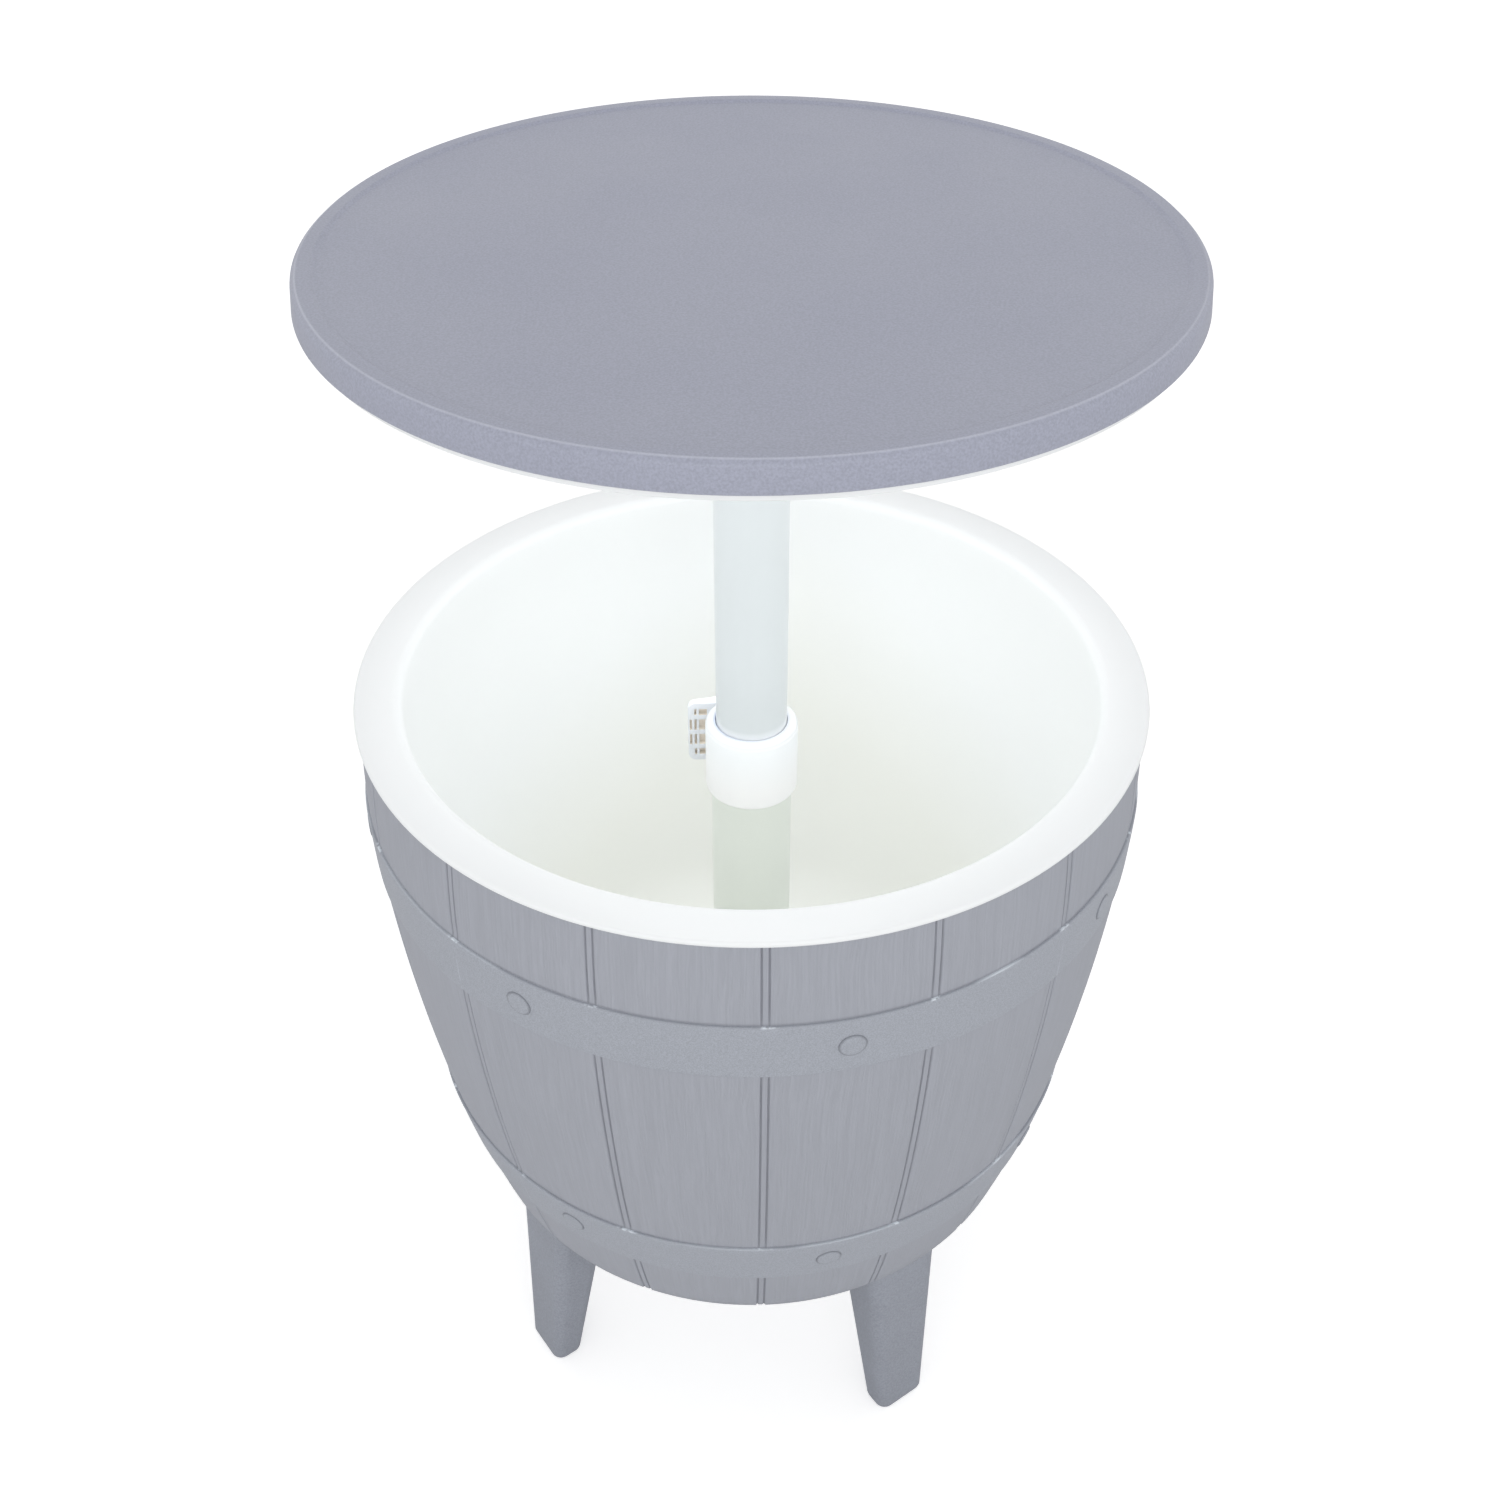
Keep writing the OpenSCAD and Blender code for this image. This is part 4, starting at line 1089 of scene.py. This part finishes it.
def ear_mesh(side, out=38.6, root=27.2):
    """One ear of the clamp collar, rounded at its end and along its edges."""
    middle, loops = side * 5.6, []
    for z, inset in ((454.9, 1.2), (455.25, 0.5), (456.1, 0), (494.7, 0), (495.55, 0.5), (495.9, 1.2)):
        half = 4.4 - inset
        plan = [(middle + half, root), *arc(middle, out, half, 0, 180, 14), (middle - half, root)]
        loops.append([(x, y, z) for x, y in plan])
    return stacked("ear", loops, 40)


class COOLER_OT_clamp(Step, bpy.types.Operator):
    """Makes the clamp collar with its ears and split, the bush inside it and its eye bolt"""

    bl_idname = "cooler.clamp"
    bl_label = "Clamp"

    def build(self, sizes, finish):
        # Up the outside, over the rounded crown and the lip round the tube
        outline = [(26.25, COLLAR_LOW)] + arc(27, COLLAR_LOW + 3, 3, -90, 0, 8)
        outline += arc(27, COLLAR_HIGH - 3, 3, 0, 66, 8) + arc(23.8, COLLAR_HIGH + 0.95, 0.5, 70, 180, 5)
        outline += [(23.3, 499), (26.25, 499)]
        collar = turned("clamp_collar_shell", outline, 160)
        for side in (-1, 1):
            collar = carved(collar, ear_mesh(side), "UNION")
        collar = carved(collar, block("split", (-1.2, 1.2), (20, 46), (440, 510)))
        placed("collar", collar, finish["collar"], "base", "fitting_white", "clamp_collar")
        bush = [(23, 457.9), (24.55, 457.9), (24.55, 469.9), (26.2, 469.9)]
        bush += [(26.2, 498.8), (26.1, 498.9)] + arc(23.5, 498.4, 0.5, 90, 180, 3)
        bush = carved(turned("bush", bush, 128), block("split", (-1.2, 1.2), (15, 35), (471.9, 510)))
        placed("bush", bush, finish["fitting"], "base", "fitting_white", "clamp_bush")
        pin = [(0, 454), (PIN_R - 0.4, 454), (PIN_R, 454.4), (PIN_R, 496.4), (PIN_R - 0.4, 496.8), (0, 496.8)]
        pin = turned("pin", pin, 48, PIVOT)
        placed("lever_pivot_pin", pin, finish["steel"], "base", "steel", "lever_pin")
        dressed("clamp_bolt", finish["steel"])
        dressed("clamp_nut", finish["steel"])


def lever_plan():
    """The lever from above along its own +X, with its inner face towards +Y and its arm bent that way."""

    def face(side):
        points = []
        for x in between(0, BEND_L, 16) + [24, LEVER_L]:
            bent = LEVER_BEND * (1 - (1 - min(x / BEND_L, 1)) ** 2)
            points.append((x, bent + side * (LEVER_ROOT + (LEVER_TIP - LEVER_ROOT) * x / LEVER_L) / 2))
        return points

    return face(-1) + face(1)[::-1]


class COOLER_OT_lever(Step, bpy.types.Operator):
    """Makes the flip lever with its grid of pockets"""

    bl_idname = "cooler.lever"
    bl_label = "Lever"

    def build(self, sizes, finish):
        tall, tip = LEVER_H, LEVER_L - LEVER_CORNER
        side = [(-20, 0)] + arc(tip, LEVER_CORNER, LEVER_CORNER, -90, 0, 10)
        side += arc(tip, tall - LEVER_CORNER, LEVER_CORNER, 0, 90, 10) + [(-20, tall)]
        window = stacked("side view", [[(x, y, z) for x, z in side] for y in (30, -20)], 40)
        blade = carved(pulled("blade", lever_plan(), 0, tall, 40), window, "INTERSECT")
        out = math.radians(-LEVER_DEG)
        hub = rod("hub", 6.2, 0, tall, centre=polar(0.8, out))
        blade = softened(carved(blade, hub, "UNION"), 0.6)
        blade.materials.clear()
        blade.materials.append(finish["lever"])
        eye = 8.2
        bore = rod("bore", PIN_R + 0.05, -5, tall + 5, 48)
        for tool in (bore, rod("eye gap", eye, tall / 2 - eye, tall / 2 + eye)):
            tool.materials.append(finish["lever"])
            blade = carved(blade, tool)
        values = {
            "Columns": sizes.pocket_columns,
            "Width": sizes.pocket_width,
            "Wide": sizes.pocket_wide,
            "Rib": sizes.pocket_rib,
            "Material": finish["pocket"],
        }
        blade = carved(blade, grown(bpy.data.meshes.new("pockets"), pocket_tree(), values))
        seat = Matrix.Translation((PIVOT[0] * MM, PIVOT[1] * MM, LEVER_LOW * MM))
        blade.transform(seat @ Matrix.Rotation(math.radians(LEVER_DEG), 4, "Z"))
        placed("flip_lever", blade, finish["lever"], "lever", "fitting_white", "cam_lever")


class COOLER_OT_top(Step, bpy.types.Operator):
    """Makes the table top, its ribs, its white liner and the mast's socket"""

    bl_idname = "cooler.top"
    bl_label = "Table top"

    def build(self, sizes, finish):
        # Under the top, round the skirt, over the crease and the raised band to the recessed face
        outline = [(0, TOP_UNDER), (245.4, TOP_UNDER), (245.4, SKIRT_LOW + 0.3), (245.7, SKIRT_LOW)]
        outline += arc(248.0, SKIRT_LOW + 0.5, 0.5, -90, 0, 3)
        outline += [(247.4, 826.4), (247.25, 827.2), (246.9, 827.8), (246.2, 828.45), (244.75, 829.8)]
        outline += [(244.55, 829.95), (244.2, TOP_HIGH)] + arc(237.2, TOP_HIGH - 0.8, 0.8, 90, 135, 3)
        outline += arc(234.2, TOP_FACE + 0.8, 0.8, 315, 270, 3) + [(r, TOP_FACE) for r in (180, 90, 0)]
        top = turned("top", outline, 256, sharp=50)
        placed("table_top_shell", top, finish["top"], "table", "table_grey", "table_top")
        low, high = 817.5, 826
        ring_outlines = [[(r, low), (r + 2, low), (r + 2, high), (r, high)] for r in (99.44, 164.1)]
        rings = [turned("rib ring", ring_outline, 96) for ring_outline in ring_outlines]
        bar = ring_of(block("rib", (100.5, 242), (-1, 1), (low, high)), 12, 0, 15, finish["top"])
        boss = [(5, 800.8), (5, high), (1.95, high), (1.95, 800.8)]
        outer = ring_of(turned("boss", boss, 32), 8, LID_SCREWS, 0, finish["top"])
        inner = ring_of(turned("boss", boss, 32), 4, SOCKET_SCREWS, 45, finish["top"])
        ribs = joined("table_top_ribs", *rings, bar, outer, inner)
        placed("table_top_ribs", ribs, finish["top"], "table", "table_grey", "table_top")
        # Out along the liner's seat, up its wall to the flange that shows under the skirt, and back inside
        liner = [(0, LINER_LOW)] + arc(209.4, 799.4, 1.2, 270, 315, 3) + arc(213.4, 802.7, 1.2, 315, 360, 3)
        liner += arc(215.6, 807.2, 1, 180, 90, 4) + arc(244.1, 809.2, 1, 270, 360, 4)
        liner += [(245.1, 821), (242.6, 821), (242.6, 810.7), (212.1, 810.7), (212.1, 803.45)]
        liner += [(209.35, LINER_HIGH), (0, LINER_HIGH)]
        placed("liner", turned("liner", liner, 256), finish["bucket"], "table", "liner_white", "lid_liner")
        socket = [(22.95, SEAT_Z), (22.95, 767.9)] + arc(26.95, 768.9, 1, 270, 360, 4)
        socket += arc(30.95, 791.2, 3, 180, 90, 5) + arc(49, 795.2, 1, 270, 360, 3)
        socket += [(50, LINER_LOW), (0, LINER_LOW), (0, SEAT_Z)]
        shell = turned("socket", socket, 128)
        side = [(27.9, 796.2), (27.9, 771.9), (46, SEAT_Z), (46, 796.2)]
        web = stacked("web", [[(x, y, z) for x, z in side] for y in (1.5, -1.5)])
        whole = joined("socket", shell, ring_of(web, 4, 0, 0, finish["fitting"]))
        placed("top_socket", whole, finish["fitting"], "table", "fitting_white", "mast_socket")


def screw_mesh(head_r, head_h, shank_r, shank_l, turns=24, key_r=1.9):
    """A pan head screw with a hexagon recess: the head is below height 0 and the shank above it."""

    def ring(r, z, sides=0):
        points = []
        for k in range(turns):
            a, half = 2 * math.pi * k / turns, math.pi / (sides or 1)
            size = r * math.cos(half) / math.cos(a % (2 * half) - half) if sides else r
            points.append(polar(size, a, z))
        return points

    loops = [ring(key_r, -head_h / 2, 6), ring(key_r, -head_h, 6)]
    loops += [ring(head_r * 0.72, -head_h), ring(head_r * 0.9, -head_h * 0.86), ring(head_r, -head_h * 0.5)]
    loops += [ring(head_r, 0), ring(shank_r, 0), ring(shank_r, shank_l - 0.6), ring(shank_r * 0.6, shank_l)]
    return stacked("screw", loops, 35)


def nut_mesh(across, bore, low, high, edge=0.6):
    """A hexagon nut with chamfered corners."""
    corners = [polar(across, math.radians(60 * k)) for k in range(6)]
    body = pulled("nut", corners, low, high, 20)
    cone = [(0, low - 1), (across - edge - 1, low - 1), (across, low + edge), (across, high - edge)]
    cone += [(across - edge - 1, high + 1), (0, high + 1)]
    body = carved(body, turned("cone", cone, 48), "INTERSECT", 20)
    return carved(body, rod("hole", bore, low - 2, high + 2, 32), sharp=20)


class COOLER_OT_fasteners(Step, bpy.types.Operator):
    """Makes the rings of screws, bolts and nuts"""

    bl_idname = "cooler.fasteners"
    bl_label = "Fasteners"

    def build(self, sizes, finish):
        steel = finish["steel"]
        screw = (4.2, 2.2, 1.9)
        up, out, down = Matrix(), Matrix.Rotation(-math.pi / 2, 4, "Y"), Matrix.Rotation(math.pi, 4, "X")
        for name, node, body, count, ring, first, z, shape, shank, turn in (
            ("lid_screw_ring", "lid_screws", "table", 8, LID_SCREWS, 0, LINER_LOW, screw, 18.5, up),
            ("socket_screw_ring", "socket_screws", "table", 4, SOCKET_SCREWS, 45, SEAT_Z, screw, 22.5, up),
            ("socket_side_screws", "upper_tube_screws", "table", 2, 27.95, 22.5, 781.05, screw, 7.0, out),
            ("foot_side_screws", "lower_tube_screws", "base", 2, 31.25, 0, 197.5, screw, 6.5, out),
            ("foot_bolts", "base_bolts", "base", 4, FOOT_BOLTS, 45, 182.5, (4.4, 3.6, 2.5), 22.5, down),
        ):
            mesh = screw_mesh(*shape, shank)
            mesh.transform(Matrix.Translation((0, 0, z * MM)) @ turn)
            placed(name, ring_of(mesh, count, ring, first, steel), steel, body, "steel", node)
        nuts = ring_of(nut_mesh(4.6, 2.55, 162, 166), 4, FOOT_BOLTS, 45, steel, 20)
        placed("foot_nuts", nuts, steel, "base", "steel", "base_nuts")
        dressed("leg_screws", steel)


class COOLER_OT_drain(Step, bpy.types.Operator):
    """Makes the drain's bushing and its screw plug"""

    bl_idname = "cooler.drain"
    bl_label = "Drain"

    def build(self, sizes, finish):
        centre, white = (0, DRAIN_Y), finish["fitting"]
        bushing = [(8, 157), (11.2, 157), (11.5, 157.3), (11.5, 175), (16.9, 175)]
        bushing += arc(15.9, 176.3, 1.2, 0, 90, 4) + arc(9.2, 176.3, 1.2, 90, 180, 4)
        mesh = turned("bushing", bushing, 96, centre)
        placed("drain_flange", mesh, white, "base", "fitting_white", "drain_bushing")
        plug = [(0, 150.6)] + arc(16.1, 151.6, 1, 270, 360, 4)
        plug += arc(16.3, 153.8, 0.8, 0, 90, 3) + [(7.9, 154.6)]
        for z in (156.2, 158.2, 160.2, 162.2):
            plug += [(7.4, z), (7.9, z + 0.5), (7.9, z + 0.9), (7.4, z + 1.4)]
        plug += [(7.4, 164.1), (6.9, 164.5), (0, 164.5)]
        cap = turned("plug", plug, 96, centre)
        grip = softened(block("grip", (-13.7, 13.7), (DRAIN_Y - 2.5, DRAIN_Y + 2.5), (143.6, 152)), 1.2)
        cap = joined("plug", cap, grip)
        placed("drain_screw_plug", cap, white, "drain_cap", "fitting_white", "drain_plug")
        dressed("drain_nut", white)
        dressed("drain_seal", finish["rubber"])


def lamp(name, place, aim, size, power, shape="SQUARE", spread=180):
    """A soft lamp that looks at a point, unseen by the camera."""
    data = bpy.data.lights.new(name, "AREA")
    data.shape = shape
    data.size = size
    data.energy = power
    data.spread = math.radians(spread)
    thing = bpy.data.objects.new(name, data)
    bpy.context.scene.collection.objects.link(thing)
    thing.location = place
    thing.rotation_euler = (Vector(aim) - thing.location).to_track_quat("-Z", "Y").to_euler()
    thing.visible_camera = False
    return thing


def emptied(owner):
    """The node tree of a material or world, without nodes."""
    owner.use_nodes = True
    owner.node_tree.nodes.clear()
    return owner.node_tree


def pale_floor():
    """A matt floor that the camera sees as white apart from the object's shadow."""
    floor = loose(block("floor", (-6000, 6000), (-6000, 6000), (-20, -0.01)))
    material = bpy.data.materials.new("Pale floor")
    tree = emptied(material)
    matt = put(tree, "ShaderNodeBsdfDiffuse", {"Color": (0.8, 0.8, 0.8, 1)})[0]
    seen = put(tree, "ShaderNodeLightPath")["Is Camera Ray"]
    glow = put(tree, "ShaderNodeEmission", {"Color": (1, 1, 1, 1), "Strength": 0.5})[0]
    dark = put(tree, "ShaderNodeEmission", {"Color": (0, 0, 0, 1), "Strength": 0})[0]
    lift = put(tree, "ShaderNodeMixShader", {0: seen, 1: dark, 2: glow})[0]
    both = put(tree, "ShaderNodeAddShader", {0: matt, 1: lift})[0]
    put(tree, "ShaderNodeOutputMaterial", {"Surface": both})
    floor.data.materials.append(material)
    return floor


def studio_world():
    """A white background with a soft light that is a shade weaker from straight above."""
    world = bpy.data.worlds.new("Studio")
    tree = emptied(world)
    rays = put(tree, "ShaderNodeLightPath")
    direct = rays["Is Camera Ray"].at_least(rays["Is Glossy Ray"]).at_least(rays["Is Transmission Ray"])
    band = split(tree, put(tree, "ShaderNodeTexCoord")["Generated"])[2].ramp(0.6, 0.85, 1.1, 0.35)
    strength = put(tree, "ShaderNodeMix", {0: direct, 2: band, 3: 1.0}, data_type="FLOAT")[0]
    sky = put(tree, "ShaderNodeBackground", {"Color": (1, 1, 1, 1), "Strength": strength})
    put(tree, "ShaderNodeOutputWorld", {"Surface": sky[0]})
    return world


class COOLER_OT_stage(bpy.types.Operator):
    """Makes the pale floor, the studio light and the camera"""

    bl_idname = "cooler.stage"
    bl_label = "Stage"

    def execute(self, context):
        scene = context.scene
        pale_floor()
        scene.world = studio_world()
        lamp("Key lamp", (0.4, -2.4, 1.9), (0, 0, 0.45), 2.0, 12)
        fill = lamp("Fill lamp under the top", (0, 0, 0.79), (0, 0, 0.3), 0.24, 0.355, "DISK", 90)
        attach(fill, "table")
        scene.view_settings.view_transform = "Standard"
        data = bpy.data.cameras.new("Camera")
        data.lens = 43.87
        data.sensor_width = 36
        data.shift_x = -0.001
        data.shift_y = -0.1
        camera = bpy.data.objects.new("Camera", data)
        scene.collection.objects.link(camera)
        camera.location = (0.1552, -0.9277, 1.2171)
        camera.rotation_euler = (math.radians(90 - 33.522), 0, math.radians(9.5))
        scene.camera = camera
        return {"FINISHED"}


STEPS = (
    COOLER_OT_barrel, COOLER_OT_bucket, COOLER_OT_legs, COOLER_OT_mast, COOLER_OT_clamp, COOLER_OT_lever,
    COOLER_OT_top, COOLER_OT_fasteners, COOLER_OT_drain, COOLER_OT_stage,
)


class COOLER_PT_panel(bpy.types.Panel):
    """Lists the cooler table's steps, sizes and colours"""

    bl_idname = "COOLER_PT_panel"
    bl_label = "Cooler table"
    bl_space_type = "VIEW_3D"
    bl_region_type = "UI"
    bl_category = "Cooler table"

    def draw(self, context):
        for step in STEPS:
            self.layout.operator(step.bl_idname)
        for group in (context.scene.cooler_sizes, context.scene.cooler_colours):
            box = self.layout.box()
            for name in group.__annotations__:
                box.prop(group, name)


CLASSES = (CoolerSizes, CoolerColours, *STEPS, COOLER_PT_panel)


def register():
    for item in CLASSES:
        bpy.utils.register_class(item)
    bpy.types.Scene.cooler_sizes = PointerProperty(type=CoolerSizes)
    bpy.types.Scene.cooler_colours = PointerProperty(type=CoolerColours)


def unregister():
    del bpy.types.Scene.cooler_sizes
    del bpy.types.Scene.cooler_colours
    for item in reversed(CLASSES):
        bpy.utils.unregister_class(item)


def main():
    """Builds everything in order and writes the size of the packed and of the visual model."""
    register()
    for step in STEPS:
        group, name = step.bl_idname.split(".")
        result = getattr(getattr(bpy.ops, group), name)()
        if result != {"FINISHED"}:
            raise RuntimeError(f"{step.bl_idname} didn't finish")


if __name__ == "__main__":
    main()
